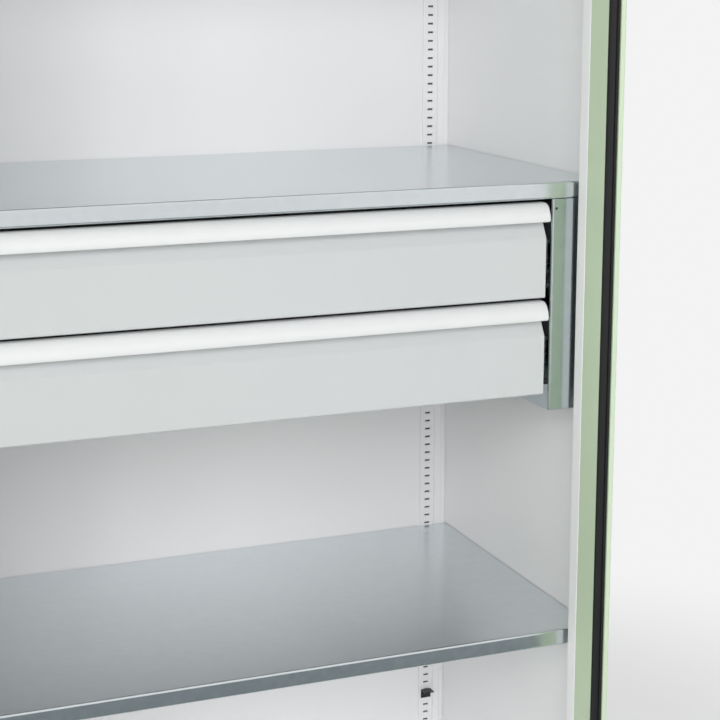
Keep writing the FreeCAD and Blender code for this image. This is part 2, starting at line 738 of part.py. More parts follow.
def door_stiffeners():
    """Upright hat sections inside the leaf, held clear of the seal."""
    bars = []
    low, high = DOORWAY_BOTTOM + STIFFENER_WIDTH, DOORWAY_TOP - STIFFENER_WIDTH
    crest = SKIN_BACK + STIFFENER_DEPTH
    for middle in STIFFENER_X:
        left, right = middle - STIFFENER_WIDTH / 2, middle + STIFFENER_WIDTH / 2
        seat = SKIN_BACK + DOOR_SHEET
        path = [
            (left, seat),
            (left + STIFFENER_FOOT, seat),
            (left + STIFFENER_FOOT + STIFFENER_SLANT, crest),
            (right - STIFFENER_FOOT - STIFFENER_SLANT, crest),
            (right - STIFFENER_FOOT, seat),
            (right, seat),
        ]
        bars.append(sheet(path[::-1], DOOR_SHEET, "XY", low, high))
    return bars


def hinge_half(middle, knuckles, reach):
    """Half a hinge, its knuckles bored for the pin. reach is +1 for the wall's half and -1 for the door's."""
    centre = Vector(HINGE_X, HINGE_Y, middle)
    plate_x = (-OUTER_HALF - HINGE_PLATE, -OUTER_HALF)
    neck = HINGE_Y + reach * (HINGE_BARREL + HINGE_NECK)
    end = HINGE_Y + reach * HINGE_PLATE_WIDTH
    plate = box(plate_x, sorted((neck - reach * HINGE_PLATE_LAP, end)),
                (middle - HINGE_HALF_LENGTH, middle + HINGE_HALF_LENGTH))
    pieces = []
    for low, high in knuckles:
        pieces.append(rod(HINGE_BARREL, centre.add(AXIS_Z * low), centre.add(AXIS_Z * high)))
        pieces.append(box(plate_x, sorted((HINGE_Y, neck)), (middle + low, middle + high)))
    over = AXIS_Z * (HINGE_HALF_LENGTH + CUT_OVER)
    bore = rod(HINGE_PIN + HINGE_PIN_RUN, centre.sub(over), centre.add(over))
    clear = box((-OUTER_HALF, -OUTER_HALF + HINGE_PLATE), sorted((HINGE_Y - reach * HINGE_BARREL, end)),
                (middle - HINGE_HALF_LENGTH, middle + HINGE_HALF_LENGTH))
    return fuse(plate, *pieces).cut([bore, clear])


def hinge_frame_half(middle):
    """The half of a hinge on the side wall: a plate and two end knuckles."""
    inner = HINGE_MIDDLE + HINGE_RUN
    return hinge_half(middle, [(-HINGE_HALF_LENGTH, -inner), (inner, HINGE_HALF_LENGTH)], 1)


def hinge_leaf_half(middle):
    """The half of a hinge on the door: a plate and the middle knuckle."""
    return hinge_half(middle, [(-HINGE_MIDDLE, HINGE_MIDDLE)], -1)


def hinge_pin(middle):
    """A hinge pin with its head on the upper knuckle."""
    centre = Vector(HINGE_X, HINGE_Y, middle)
    top = centre.add(AXIS_Z * HINGE_HALF_LENGTH)
    shank = rod(HINGE_PIN, centre.sub(AXIS_Z * HINGE_HALF_LENGTH), top)
    head = rod(HINGE_PIN_HEAD_RADIUS, top, top.add(AXIS_Z * HINGE_PIN_HEAD))
    return fuse(shank, head)


def lock_point(y, dx=0.0, dz=0.0):
    """A point on the lock's axis, moved across the door."""
    return Vector(LOCK_X + dx, y, LOCK_HEIGHT + dz)


def crank_pins():
    """The two crank pins' offsets from the spindle with the rods drawn back."""
    offset = CRANK_RADIUS / math.sqrt(2)
    return (offset, -offset), (-offset, offset)


def lock_spindle():
    """The spindle with its crank disc and the two pins that drive the rods."""
    shaft = rod(SPINDLE_RADIUS, lock_point(SKIN_FRONT - ESCUTCHEON_THICK), lock_point(DISC_LOW))
    disc = rod(CRANK_DISC, lock_point(DISC_LOW), lock_point(DISC_HIGH))
    pin_end = ROD_Y + YOKE_THICK / 2 + CRANK_PIN_END
    pins = [
        rod(CRANK_PIN, lock_point(DISC_HIGH, dx, dz), lock_point(pin_end, dx, dz))
        for dx, dz in crank_pins()
    ]
    return fuse(shaft, disc, *pins)


def lock_rod(up):
    """A lock rod with its offset yoke plate and the slot that a crank pin works in."""
    sign = 1 if up else -1
    pin_x, pin_z = crank_pins()[0] if up else crank_pins()[1]
    tip = (DOORWAY_TOP - ROD_TIP_GAP) if up else (DOORWAY_BOTTOM + ROD_TIP_GAP)
    neck = LOCK_HEIGHT + sign * YOKE_NECK
    layer = (ROD_Y - YOKE_THICK / 2, ROD_Y + YOKE_THICK / 2)
    bar = rod(ROD_RADIUS, Vector(LOCK_X, ROD_Y, neck), Vector(LOCK_X, ROD_Y, tip))
    inner_x, outer_x = LOCK_X + sign * YOKE_LAYER_GAP, LOCK_X + sign * (YOKE_LAYER_GAP + YOKE_WIDTH)
    end_z = LOCK_HEIGHT + pin_z - sign * YOKE_END
    shoulder_z = neck + sign * YOKE_SHOULDER
    shoulder_x = LOCK_X - sign * ROD_RADIUS
    outline = [
        (inner_x, end_z),
        (outer_x, end_z),
        (outer_x, neck),
        (LOCK_X + sign * ROD_RADIUS, shoulder_z),
        (shoulder_x, shoulder_z),
        (shoulder_x, neck),
        (inner_x, neck),
    ]
    plate = prism(outline, "XZ", *layer)
    half_slot = CRANK_PIN + YOKE_SLOT_RUN
    near = abs(pin_x) - half_slot
    far = CRANK_RADIUS + half_slot
    slot_x = sorted((LOCK_X + sign * near, LOCK_X + sign * far))
    middle = LOCK_HEIGHT + pin_z
    slot = box(slot_x, (layer[0] - CUT_OVER, layer[1] + CUT_OVER), (middle - half_slot, middle + half_slot))
    return fuse(bar, plate).cut(slot)


def lock_case():
    """The cover over the crank, open towards the skin, with ways for the two rods."""
    half_x, half_z = LOCK_CASE_WIDTH / 2, LOCK_CASE_HEIGHT / 2
    low, high = SKIN_BACK, SKIN_BACK + LOCK_CASE_DEPTH
    x, z = (LOCK_X - half_x, LOCK_X + half_x), (LOCK_HEIGHT - half_z, LOCK_HEIGHT + half_z)
    wall = LOCK_CASE_SHEET
    hollow = box((x[0] + wall, x[1] - wall), (low - CUT_OVER, high - wall), (z[0] + wall, z[1] - wall))
    way_half = ROD_RADIUS + LOCK_WAY_RUN
    way = box((LOCK_X - way_half, LOCK_X + way_half), (low - CUT_OVER, ROD_Y + way_half),
              (z[0] - CUT_OVER, z[1] + CUT_OVER))
    shell = box(x, (low, high), z)
    ears = [
        box(x, (low, low + wall), (z[0] - LOCK_EAR, z[0] + wall)),
        box(x, (low, low + wall), (z[1] - wall, z[1] + LOCK_EAR)),
    ]
    holes = [
        rod(SCREW_RADIUS + FIT, seat.sub(AXIS_Y * (wall + CUT_OVER)), seat.add(AXIS_Y * CUT_OVER))
        for seat in lock_screw_seats()
    ]
    return fuse(shell, *ears).cut([hollow, way] + holes)


def lock_screw_seats():
    """Where the lock case's screws have their heads."""
    reach = (LOCK_CASE_HEIGHT + LOCK_EAR) / 2
    face = SKIN_BACK + LOCK_CASE_SHEET
    side = LOCK_CASE_WIDTH / 2 - LOCK_SCREW_INSET
    return [lock_point(face, dx, dz) for dx in (-side, side) for dz in (-reach, reach)]


def rod_guides():
    """Bored brackets that guide the rods along the leaf."""
    guides = []
    crest = ROD_Y + ROD_RADIUS + GUIDE_WALL
    for end in (DOORWAY_BOTTOM, DOORWAY_TOP):
        for share in GUIDE_SHARES:
            middle = LOCK_HEIGHT + share * (end - LOCK_HEIGHT)
            block = box((LOCK_X - GUIDE_WIDTH / 2, LOCK_X + GUIDE_WIDTH / 2), (SKIN_BACK, crest),
                        (middle - GUIDE_HEIGHT / 2, middle + GUIDE_HEIGHT / 2))
            edges = [
                edge for edge in block.Edges
                if abs(edge.CenterOfMass.y - crest) < FIT and abs(edge.CenterOfMass.z - middle) < FIT
            ]
            rounded = block.makeFillet(GUIDE_ROUNDING, edges)
            bore = rod(ROD_RADIUS + ROD_RUN, Vector(LOCK_X, ROD_Y, middle - GUIDE_HEIGHT),
                       Vector(LOCK_X, ROD_Y, middle + GUIDE_HEIGHT))
            guides.append(rounded.cut(bore))
    return guides


def lock_bush():
    """The flanged bush that carries the spindle in the skin."""
    body = rod(BUSH_RADIUS, lock_point(SKIN_FRONT - FIT), lock_point(SKIN_BACK + BUSH_FLANGE_THICK))
    flange = rod(BUSH_FLANGE, lock_point(SKIN_BACK), lock_point(SKIN_BACK + BUSH_FLANGE_THICK))
    bore = rod(SPINDLE_RADIUS + RUN, lock_point(SKIN_FRONT - CUT_OVER),
               lock_point(SKIN_BACK + BUSH_FLANGE_THICK + CUT_OVER))
    return fuse(body, flange).cut(bore)


def lock_escutcheon():
    """The round plate behind the grip."""
    front = SKIN_FRONT - ESCUTCHEON_THICK
    plate = rod(ESCUTCHEON_RADIUS, lock_point(SKIN_FRONT), lock_point(front))
    rim = [
        edge for edge in plate.Edges
        if abs(edge.CenterOfMass.y - front) < FIT and len(edge.Vertexes) == 1
    ]
    plate = plate.makeChamfer(ESCUTCHEON_CHAMFER, rim)
    bore = rod(BUSH_RADIUS + FIT, lock_point(SKIN_FRONT + CUT_OVER), lock_point(front - CUT_OVER))
    return plate.cut(bore)


def lock_grip():
    """The turning grip: a round base with a wing, bored for the key plug."""
    back = SKIN_FRONT - ESCUTCHEON_THICK - FIT
    base_front = back - GRIP_BASE_DEPTH
    wing_front = back - GRIP_WING_DEPTH
    base = rod(GRIP_BASE_RADIUS, lock_point(back), lock_point(base_front))
    end, tip = GRIP_WING_LENGTH / 2, GRIP_WING_WIDTH / 2 * GRIP_WING_END
    waist = GRIP_WING_WIDTH / 2 * GRIP_WING_WAIST
    outline = [
        (LOCK_X - end, LOCK_HEIGHT - tip),
        (LOCK_X, LOCK_HEIGHT - waist),
        (LOCK_X + end, LOCK_HEIGHT - tip),
        (LOCK_X + end, LOCK_HEIGHT + tip),
        (LOCK_X, LOCK_HEIGHT + waist),
        (LOCK_X - end, LOCK_HEIGHT + tip),
    ]
    radii = [GRIP_END_ROUNDING, GRIP_WAIST_ROUNDING, GRIP_END_ROUNDING] * 2
    wing = prism(outline, "XZ", wing_front, back - GRIP_WING_BACK, radii)
    bore = rod(PLUG_RADIUS + RUN, lock_point(wing_front - CUT_OVER), lock_point(wing_front + PLUG_DEPTH))
    shaft = rod(SPINDLE_RADIUS, lock_point(back), lock_point(SKIN_FRONT - ESCUTCHEON_THICK))
    return fuse(base, wing, shaft).cut(bore)


def key_plug():
    """The lock's turning plug with its keyway."""
    front = SKIN_FRONT - ESCUTCHEON_THICK - FIT - GRIP_WING_DEPTH
    plug = rod(PLUG_RADIUS, lock_point(front - PLUG_PROUD), lock_point(front + PLUG_DEPTH - FIT))
    keyway = box((LOCK_X - KEYWAY_WIDTH / 2, LOCK_X + KEYWAY_WIDTH / 2),
                 (front - PLUG_PROUD - CUT_OVER, front + KEYWAY_DEPTH),
                 (LOCK_HEIGHT - KEYWAY_HEIGHT / 2, LOCK_HEIGHT + KEYWAY_HEIGHT / 2))
    return plug.cut(keyway)


def build():
    """Every piece of the cabinet, by its node's name."""
    right = side_right()
    housing = housing_right()
    nodes = {
        "side_right": right,
        "side_left": mirrored(right),
        "back_panel": back_panel(),
        "top_panel": top_panel(),
        "floor_panel": floor_panel(),
        "seal": seal(),
        "top_shelf": shelf(TOP_SHELF_SLOT),
        "upper_shelf": upper_shelf(),
        "lower_shelf": shelf(LOWER_SHELF_SLOT),
        "shelf_clips": group(shelf_clips()),
        "spare_clip": spare_clip(),
        "drawer_housing_right": housing,
        "drawer_housing_left": mirrored(housing),
        "drawer_housing_tie": housing_tie(),
        "drawer_housing_screws": group(
            [screw(seat, AXIS_Z, HOUSING_SHEET + 2 * SHELF_SHEET) for seat in housing_screw_seats()]
        ),
    }
    nodes.update(plinth())
    nodes.update(collar())
    for name, strip in at_corners(upright()).items():
        nodes["upright_" + name] = strip
    outers = []
    for number, name in enumerate(("upper", "lower")[:DRAWER_COUNT]):
        top = drawer_top(number)
        outer, mid, inner = slide_members(top)
        outers += both_sides(outer)
        nodes[name + "_drawer_tray"] = drawer_tray(top)
        nodes[name + "_drawer_front"] = drawer_front(top)
        nodes[name + "_drawer_handle"] = drawer_handle(top)
        nodes[name + "_drawer_handle_caps"] = group(handle_caps(top))
        nodes[name + "_slide_middle_members"] = group(both_sides(mid))
        nodes[name + "_slide_inner_members"] = group(both_sides(inner))
    nodes["slide_outer_members"] = group(outers)
    nodes["hinge_frame_halves"] = group([hinge_frame_half(z) for z in HINGE_HEIGHTS])
    nodes["hinge_pins"] = group([hinge_pin(z) for z in HINGE_HEIGHTS])
    door = {
        "door_skin": door_skin(),
        "door_stiffeners": group(door_stiffeners()),
        "hinge_leaf_halves": group([hinge_leaf_half(z) for z in HINGE_HEIGHTS]),
        "lock_case": lock_case(),
        "lock_case_screws": group([screw(seat, -AXIS_Y, LOCK_CASE_SHEET) for seat in lock_screw_seats()]),
        "lock_bush": lock_bush(),
        "lock_escutcheon": lock_escutcheon(),
        "lock_grip": lock_grip(),
        "lock_spindle": lock_spindle(),
        "lock_key_plug": key_plug(),
        "lock_rod_top": lock_rod(True),
        "lock_rod_bottom": lock_rod(False),
        "rod_guides": group(rod_guides()),
    }
    nodes.update({name: swung(shape) for name, shape in door.items()})
    return nodes


def main():
    """Write one STEP file for each node."""
    os.makedirs("parts", exist_ok=True)
    for name, shape in build().items():
        shape.exportStep(os.path.join("parts", name + ".step"))


if __name__ == "__main__":
    main()
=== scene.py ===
"""Looks of the storage cabinet: its finishes and fine pieces, and the stage, lights and camera.

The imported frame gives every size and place. A fine piece is worked out from the box of the node that it
sits on or stands for, so it keeps to the frame. Lengths are in metres.
"""
import logging
import math
from dataclasses import dataclass, field
from enum import Enum
import bpy
import numpy as np
from mathutils import Euler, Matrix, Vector


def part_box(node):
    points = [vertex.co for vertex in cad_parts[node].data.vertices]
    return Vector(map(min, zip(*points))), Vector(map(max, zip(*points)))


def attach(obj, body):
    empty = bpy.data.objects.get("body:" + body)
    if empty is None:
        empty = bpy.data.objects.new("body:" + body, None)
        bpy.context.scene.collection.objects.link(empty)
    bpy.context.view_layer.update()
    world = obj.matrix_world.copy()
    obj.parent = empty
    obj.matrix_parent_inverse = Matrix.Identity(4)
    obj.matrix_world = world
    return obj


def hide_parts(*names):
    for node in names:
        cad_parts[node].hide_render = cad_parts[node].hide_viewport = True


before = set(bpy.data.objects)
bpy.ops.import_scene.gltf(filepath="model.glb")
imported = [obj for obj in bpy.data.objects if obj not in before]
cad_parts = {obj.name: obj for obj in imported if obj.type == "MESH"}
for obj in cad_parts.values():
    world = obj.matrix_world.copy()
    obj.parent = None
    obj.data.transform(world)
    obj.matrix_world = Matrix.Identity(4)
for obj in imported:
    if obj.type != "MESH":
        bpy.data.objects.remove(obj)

logging.basicConfig(level=logging.INFO, format="%(name)s: %(message)s")
LOG = logging.getLogger("cabinet")

Triple = tuple[float, float, float]
Colour = Triple
Array = np.ndarray
MM = 0.001
HINGE_HEIGHTS = (320 * MM, 1025 * MM, 1730 * MM)
HINGE_PLATE = 2.0 * MM
HINGE_SCREW_DROP = 21.0 * MM
RIGHT_X = np.array([1.0, 0.0, 0.0])
DOWN_Y = np.array([0.0, -1.0, 0.0])
UP_Z = np.array([0.0, 0.0, 1.0])


def screen(red: float, green: float, blue: float) -> Colour:
    """Linear colour of a screen colour: each share above 0.04045 is ((share + 0.055) / 1.055) ** 2.4.

    Args:
        red: Red from 0 to 255.
        green: Green from 0 to 255.
        blue: Blue from 0 to 255.

    Returns:
        The three linear shares.
    """
    shares = np.array([red, green, blue]) / 255
    linear = np.where(shares > 0.04045, ((shares + 0.055) / 1.055) ** 2.4, shares / 12.92)
    return tuple(float(share) for share in linear)


class Side(Enum):
    """The cabinet's two sides, by the sign of X."""

    LEFT = -1
    RIGHT = 1


class Rolling(Enum):
    """The way that a sheet was rolled, as the scale of its streaks along X, Y and Z."""

    ACROSS = (0.03, 1.0, 1.0)
    UPRIGHT = (1.0, 1.0, 0.03)


class Board:
    """A material's nodes, with short ways to add and join them."""

    NOISE_LOW = 0.3
    NOISE_HIGH = 0.7
    BEVEL_SAMPLES = 4

    def __init__(self, name: str) -> None:
        """Start a material with its shader and the Object coordinates.

        Args:
            name: The material's name.
        """
        self.material = bpy.data.materials.new(name)
        self.material.use_nodes = True
        self.tree = self.material.node_tree
        self.shader = self.tree.nodes["Principled BSDF"]
        self.place = self.add("ShaderNodeTexCoord").outputs["Object"]

    def add(self, kind: str, **values: object) -> bpy.types.Node:
        """Add a node.

        Args:
            kind: The node's type.
            **values: Values or sockets for its inputs, by the input's name with spaces left out.

        Returns:
            The node.
        """
        node = self.tree.nodes.new(kind)
        for name, value in values.items():
            fitting = (one for one in node.inputs if one.enabled and one.name.replace(" ", "") == name)
            self.put(next(fitting), value)
        return node

    def put(self, socket: bpy.types.NodeSocket, value: object) -> None:
        """Join a socket to another one, or set its value.

        Args:
            socket: The input.
            value: A socket, a number or a vector.
        """
        if isinstance(value, bpy.types.NodeSocket):
            self.tree.links.new(value, socket)
        else:
            socket.default_value = value

    def noise(self, scale: float, detail: float = 2.0, stretch: Triple = (1, 1, 1)) -> bpy.types.NodeSocket:
        """Add a noise on the Object coordinates.

        Args:
            scale: Its cells per metre.
            detail: How many finer layers it has.
            stretch: The coordinates' scale along each axis.

        Returns:
            Its value's socket.
        """
        spot = self.add("ShaderNodeMapping", Vector=self.place, Scale=stretch).outputs["Vector"]
        return self.add("ShaderNodeTexNoise", Vector=spot, Scale=scale, Detail=detail).outputs[0]

    def spread(self, value: bpy.types.NodeSocket, low: float, high: float) -> bpy.types.NodeSocket:
        """Map a noise's middle part onto a range.

        Args:
            value: The noise.
            low: The range's start.
            high: The range's end.

        Returns:
            The mapped value's socket.
        """
        node = self.add("ShaderNodeMapRange", Value=value, FromMin=self.NOISE_LOW, FromMax=self.NOISE_HIGH,
                        ToMin=low, ToMax=high)
        return node.outputs["Result"]

    def blend(self, share: bpy.types.NodeSocket, first: Colour, second: Colour) -> bpy.types.NodeSocket:
        """Mix two colours by a socket's value.

        Args:
            share: How much of the second colour there is.
            first: The colour at 0.
            second: The colour at 1.

        Returns:
            The mixed colour's socket.
        """
        node = self.tree.nodes.new("ShaderNodeMix")
        node.data_type = "RGBA"
        self.put(node.inputs["Factor"], share)
        colours = [socket for socket in node.inputs if socket.type == "RGBA"]
        self.put(colours[0], (*first, 1.0))
        self.put(colours[1], (*second, 1.0))
        return next(socket for socket in node.outputs if socket.type == "RGBA")

    def relief(self, height: bpy.types.NodeSocket, depth: float, rounding: float) -> None:
        """Give the surface a relief, with its edges rounded in shading.

        Args:
            height: The relief's height from 0 to 1.
            depth: The real depth of the relief.
            rounding: The radius of the rounded edges.
        """
        edge = self.add("ShaderNodeBevel", Radius=rounding)
        edge.samples = self.BEVEL_SAMPLES
        bump = self.add("ShaderNodeBump", Height=height, Distance=depth, Strength=1.0,
                        Normal=edge.outputs["Normal"])
        self.put(self.shader.inputs["Normal"], bump.outputs["Normal"])


def shade(colour: Colour, share: float) -> Colour:
    """The colour made darker or lighter by a share."""
    return tuple(min(1.0, part * share) for part in colour)


@dataclass(frozen=True)
class PowderCoat:
    """Baked powder paint: a fine orange peel, a faint drift in tone and a little dust and handling."""

    name: str
    colour: Colour
    roughness: float = 0.42
    peel: float = 0.00005
    peel_scale: float = 520.0
    peel_share: float = 0.8
    drift_scale: float = 3.5
    drift_dark: float = 0.985
    drift_light: float = 1.01
    speck_scale: float = 160.0
    wear_scale: float = 26.0
    wear_smooth: float = 0.06
    wear_rough: float = 0.07
    specular: float = 0.42
    rounding: float = 0.0012

    def build(self) -> bpy.types.Material:
        """Make the material.

        Returns:
            The material.
        """
        board = Board(self.name)
        drift = board.spread(board.noise(self.drift_scale, detail=4.0), 0.0, 1.0)
        speck = board.noise(self.speck_scale)
        tone = board.blend(drift, shade(self.colour, self.drift_dark), shade(self.colour, self.drift_light))
        board.put(board.shader.inputs["Base Color"], tone)
        worn = board.noise(self.wear_scale, detail=5.0)
        rough = board.spread(worn, self.roughness - self.wear_smooth, self.roughness + self.wear_rough)
        board.put(board.shader.inputs["Roughness"], rough)
        board.shader.inputs["Specular IOR Level"].default_value = self.specular
        peel = board.noise(self.peel_scale, detail=1.0)
        mixed = board.add("ShaderNodeMath", Value=peel)
        mixed.operation = "MULTIPLY_ADD"
        board.put(mixed.inputs[1], self.peel_share)
        board.put(mixed.inputs[2], speck)
        board.relief(mixed.outputs[0], self.peel, self.rounding)
        return board.material


@dataclass(frozen=True)
class Galvanised:
    """Skin-passed zinc on sheet: a satin mirror with faint spangles and fine streaks along the rolling."""

    name: str
    rolling: Rolling
    bright: Colour = (0.755, 0.80, 0.815)
    dull: Colour = (0.71, 0.76, 0.78)
    spangle_scale: float = 120.0
    spangle_wander: float = 0.010
    wander_scale: float = 30.0
    spangle_rough: float = 0.03
    streak_scale: float = 300.0
    streak_depth: float = 0.0000012
    streak_rough: float = 0.03
    wear_scale: float = 4.0
    wear_rough: float = 0.06
    gloss: float = 0.17
    rounding: float = 0.0010

    def build(self) -> bpy.types.Material:
        """Make the material.

        Returns:
            The material.
        """
        board = Board(self.name)
        wander = board.noise(self.wander_scale)
        push = board.add("ShaderNodeVectorMath")
        push.operation = "MULTIPLY_ADD"
        board.put(push.inputs[0], wander)
        push.inputs[1].default_value = (self.spangle_wander,) * 3
        board.put(push.inputs[2], board.place)
        cell = board.add("ShaderNodeTexVoronoi", Vector=push.outputs[0], Scale=self.spangle_scale)
        cell.feature = "SMOOTH_F1"
        tone = board.add("ShaderNodeSeparateColor", Color=cell.outputs["Color"]).outputs[0]
        board.put(board.shader.inputs["Base Color"], board.blend(tone, self.dull, self.bright))
        streak = board.noise(self.streak_scale, detail=3.0, stretch=self.rolling.value)
        cloud = board.noise(self.wear_scale)
        rough = board.add("ShaderNodeMath", Value=tone)
        rough.operation = "MULTIPLY_ADD"
        board.put(rough.inputs[1], self.spangle_rough)
        board.put(rough.inputs[2], board.spread(streak, self.gloss, self.gloss + self.streak_rough))
        worn = board.add("ShaderNodeMath", Value=cloud)
        worn.operation = "MULTIPLY_ADD"
        board.put(worn.inputs[1], self.wear_rough)
        board.put(worn.inputs[2], rough.outputs[0])
        board.put(board.shader.inputs["Roughness"], worn.outputs[0])
        board.shader.inputs["Metallic"].default_value = 1.0
        board.relief(streak, self.streak_depth, self.rounding)
        return board.material


@dataclass(frozen=True)
class PlatedSteel:
    """Bright zinc or chrome plating: a clean metal with short fine scratches."""

    name: str
    colour: Colour
    gloss: float
    scratch_scale: float = 700.0
    scratch_stretch: Triple = (1.0, 0.12, 1.0)
    scratch_depth: float = 0.000006
    scratch_smooth: float = 0.03
    scratch_rough: float = 0.08
    cloud_scale: float = 45.0
    cloud_dark: float = 0.93
    cloud_light: float = 1.04
    rounding: float = 0.0004

    def build(self) -> bpy.types.Material:
        """Make the material.

        Returns:
            The material.
        """
        board = Board(self.name)
        scratch = board.noise(self.scratch_scale, detail=3.0, stretch=self.scratch_stretch)
        cloud = board.spread(board.noise(self.cloud_scale, detail=3.0), 0.0, 1.0)
        tone = board.blend(cloud, shade(self.colour, self.cloud_dark), shade(self.colour, self.cloud_light))
        board.put(board.shader.inputs["Base Color"], tone)
        rough = board.spread(scratch, self.gloss - self.scratch_smooth, self.gloss + self.scratch_rough)
        board.put(board.shader.inputs["Roughness"], rough)
        board.shader.inputs["Metallic"].default_value = 1.0
        board.relief(scratch, self.scratch_depth, self.rounding)
        return board.material


@dataclass(frozen=True)
class Moulded:
    """Moulded plastic or rubber: a fine spark-eroded grain and a slight bloom."""

    name: str
    colour: Colour
    roughness: float
    grain: float = 0.00003
    grain_scale: float = 1400.0
    bloom: float = 0.25
    cloud_scale: float = 38.0
    cloud_rough: float = 0.08
    rounding: float = 0.0006

    def build(self) -> bpy.types.Material:
        """Make the material.

        Returns:
            The material.
        """
        board = Board(self.name)
        cloud = board.noise(self.cloud_scale, detail=4.0)
        tone = board.blend(board.spread(cloud, 0.0, 1.0), self.colour, shade(self.colour, 1.0 + self.bloom))
        board.put(board.shader.inputs["Base Color"], tone)
        rough = board.spread(cloud, self.roughness, self.roughness + self.cloud_rough)
        board.put(board.shader.inputs["Roughness"], rough)
        board.relief(board.noise(self.grain_scale, detail=1.0), self.grain, self.rounding)
        return board.material


class Coat(Enum):
    """The cabinet's finishes by what wears them."""

    CARCASE = PowderCoat("coat_carcase_white", screen(243, 242, 244))
    PLINTH = PowderCoat("coat_plinth_grey", screen(214, 216, 217), roughness=0.48)
    GREEN = PowderCoat("coat_door_green", screen(199, 215, 188), roughness=0.40)
    DRAWER = PowderCoat("coat_drawer_grey", screen(195, 197, 199), roughness=0.40)
    HANDLE = Moulded("handle_light", screen(217, 217, 219), 0.30, bloom=0.02)
    SHELF_ZINC = Galvanised("zinc_shelf", Rolling.ACROSS)
    HOUSING_ZINC = Galvanised("zinc_side", Rolling.UPRIGHT, bright=(0.60, 0.65, 0.68),
                              dull=(0.56, 0.61, 0.64), gloss=0.12)
    CLIP = PlatedSteel("plated_clip", (0.58, 0.61, 0.63), 0.28)
    SLIDE = PlatedSteel("plated_slide", (0.62, 0.65, 0.67), 0.22)
    STEEL = PlatedSteel("plated_steel", (0.56, 0.57, 0.58), 0.24)
    CHROME = PlatedSteel("chrome_plug", (0.78, 0.79, 0.80), 0.09)
    BLACK_CLIP = PowderCoat("coat_clip_black", (0.018, 0.018, 0.019), roughness=0.36, rounding=0.0004)
    PLASTIC = Moulded("plastic_black", (0.016, 0.016, 0.017), 0.42)
    RUBBER = Moulded("rubber_seal", (0.008, 0.008, 0.0085), 0.55, grain=0.00004, grain_scale=900.0, bloom=0.5)
    SHADE = Moulded("slot_shade", screen(104, 107, 109), 0.80, grain=0.00002, bloom=0.08)


class Wardrobe:
    """The finishes as materials, each made once."""

    def __init__(self) -> None:
        """Make every finish."""
        self.made = {coat: coat.value.build() for coat in Coat}

    def dress(self, obj: bpy.types.Object, coat: Coat) -> None:
        """Give an object one finish all over.

        Args:
            obj: The object.
            coat: The finish.
        """
        slots = obj.data.materials
        if len(slots) == 0:
            slots.append(self.made[coat])
        for index in range(len(slots)):
            slots[index] = self.made[coat]


def mesh_object(name: str, points: Array, faces: list[list[int]], crease: float) -> bpy.types.Object:
    """Make a smooth object from whole arrays, with sharp edges where two faces turn more than the crease.

    Args:
        name: The object's name.
        points: The vertices, one row each.
        faces: The faces' vertex numbers.
        crease: The crease in degrees.

    Returns:
        The object, linked to the scene.
    """
    mesh = bpy.data.meshes.new(name)
    mesh.from_pydata(points.reshape(-1, 3).tolist(), [], faces)
    mesh.polygons.foreach_set("use_smooth", np.ones(len(mesh.polygons), dtype=bool))
    mesh.set_sharp_from_angle(angle=math.radians(crease))
    mesh.update()
    obj = bpy.data.objects.new(name, mesh)
    bpy.context.scene.collection.objects.link(obj)
    return obj


def grid_faces(rows: int, columns: int, looped: bool) -> Array:
    """The quads of a stack of rings: each joins a point, the next on its ring, and the same two a ring on.

    Args:
        rows: How many rings there are.
        columns: How many points a ring has. The last joins the first.
        looped: Whether the last ring joins the first.

    Returns:
        The quads, one row each.
    """
    row = np.arange(rows if looped else rows - 1)[:, None]
    column = np.arange(columns)[None, :]
    row_after, column_after = (row + 1) % rows, (column + 1) % columns
    corners = [row * columns + column, row * columns + column_after,
               row_after * columns + column_after, row_after * columns + column]
    return np.stack(corners, axis=-1).reshape(-1, 4)


def tubes_object(name: str, rings: Array, looped: bool = False, crease: float = 40.0) -> bpy.types.Object:
    """Make closed skins from stacks of rings, each closed by two end faces, or into a loop.

    The faces point outwards where a skin's volume, the sum of a . (b x c) / 6 over its triangles, is
    positive, so the first skin's volume decides the way that all faces turn.

    Args:
        name: The object's name.
        rings: The points, skins by rings by points by three.
        looped: Whether the last ring joins the first.
        crease: The crease in degrees.

    Returns:
        The object.
    """
    skins, rows, columns = rings.shape[:3]
    quads = grid_faces(rows, columns, looped)
    around = np.arange(columns)
    ends = np.stack([around[::-1], (rows - 1) * columns + around])
    if looped:
        ends = ends[:0]
    fans = [np.stack([0 * end[2:] + end[0], end[1:-1], end[2:]], axis=-1) for end in ends]
    triangles = np.concatenate([quads[:, [0, 1, 2]], quads[:, [0, 2, 3]], *fans])
    first, second, third = (rings[0].reshape(-1, 3)[triangles[:, corner]] for corner in range(3))
    step = 1 if np.sum(first * np.cross(second, third)) > 0 else -1
    jumps = np.arange(skins)[:, None, None] * rows * columns
    faces = (quads[None, :, ::step] + jumps).reshape(-1, 4).tolist()
    faces += (ends[None, :, ::step] + jumps).reshape(-1, columns).tolist()
    return mesh_object(name, rings, faces, crease)


def superellipse(half_width: float, half_height: float, power: float, count: int) -> Array:
    """A closed outline: half_width |cos a|^(2/power) and half_height |sin a|^(2/power), with their signs.

    Args:
        half_width: Its reach along the first axis.
        half_height: Its reach along the second.
        power: 2 is an ellipse, and more comes nearer to a rectangle.
        count: How many points it has.

    Returns:
        The points, one row of two each.
    """
    angle = np.linspace(0.0, 2 * math.pi, count, endpoint=False)
    wide, high = np.cos(angle), np.sin(angle)
    return np.stack([half_width * np.sign(wide) * np.abs(wide) ** (2 / power),
                     half_height * np.sign(high) * np.abs(high) ** (2 / power)], axis=-1)


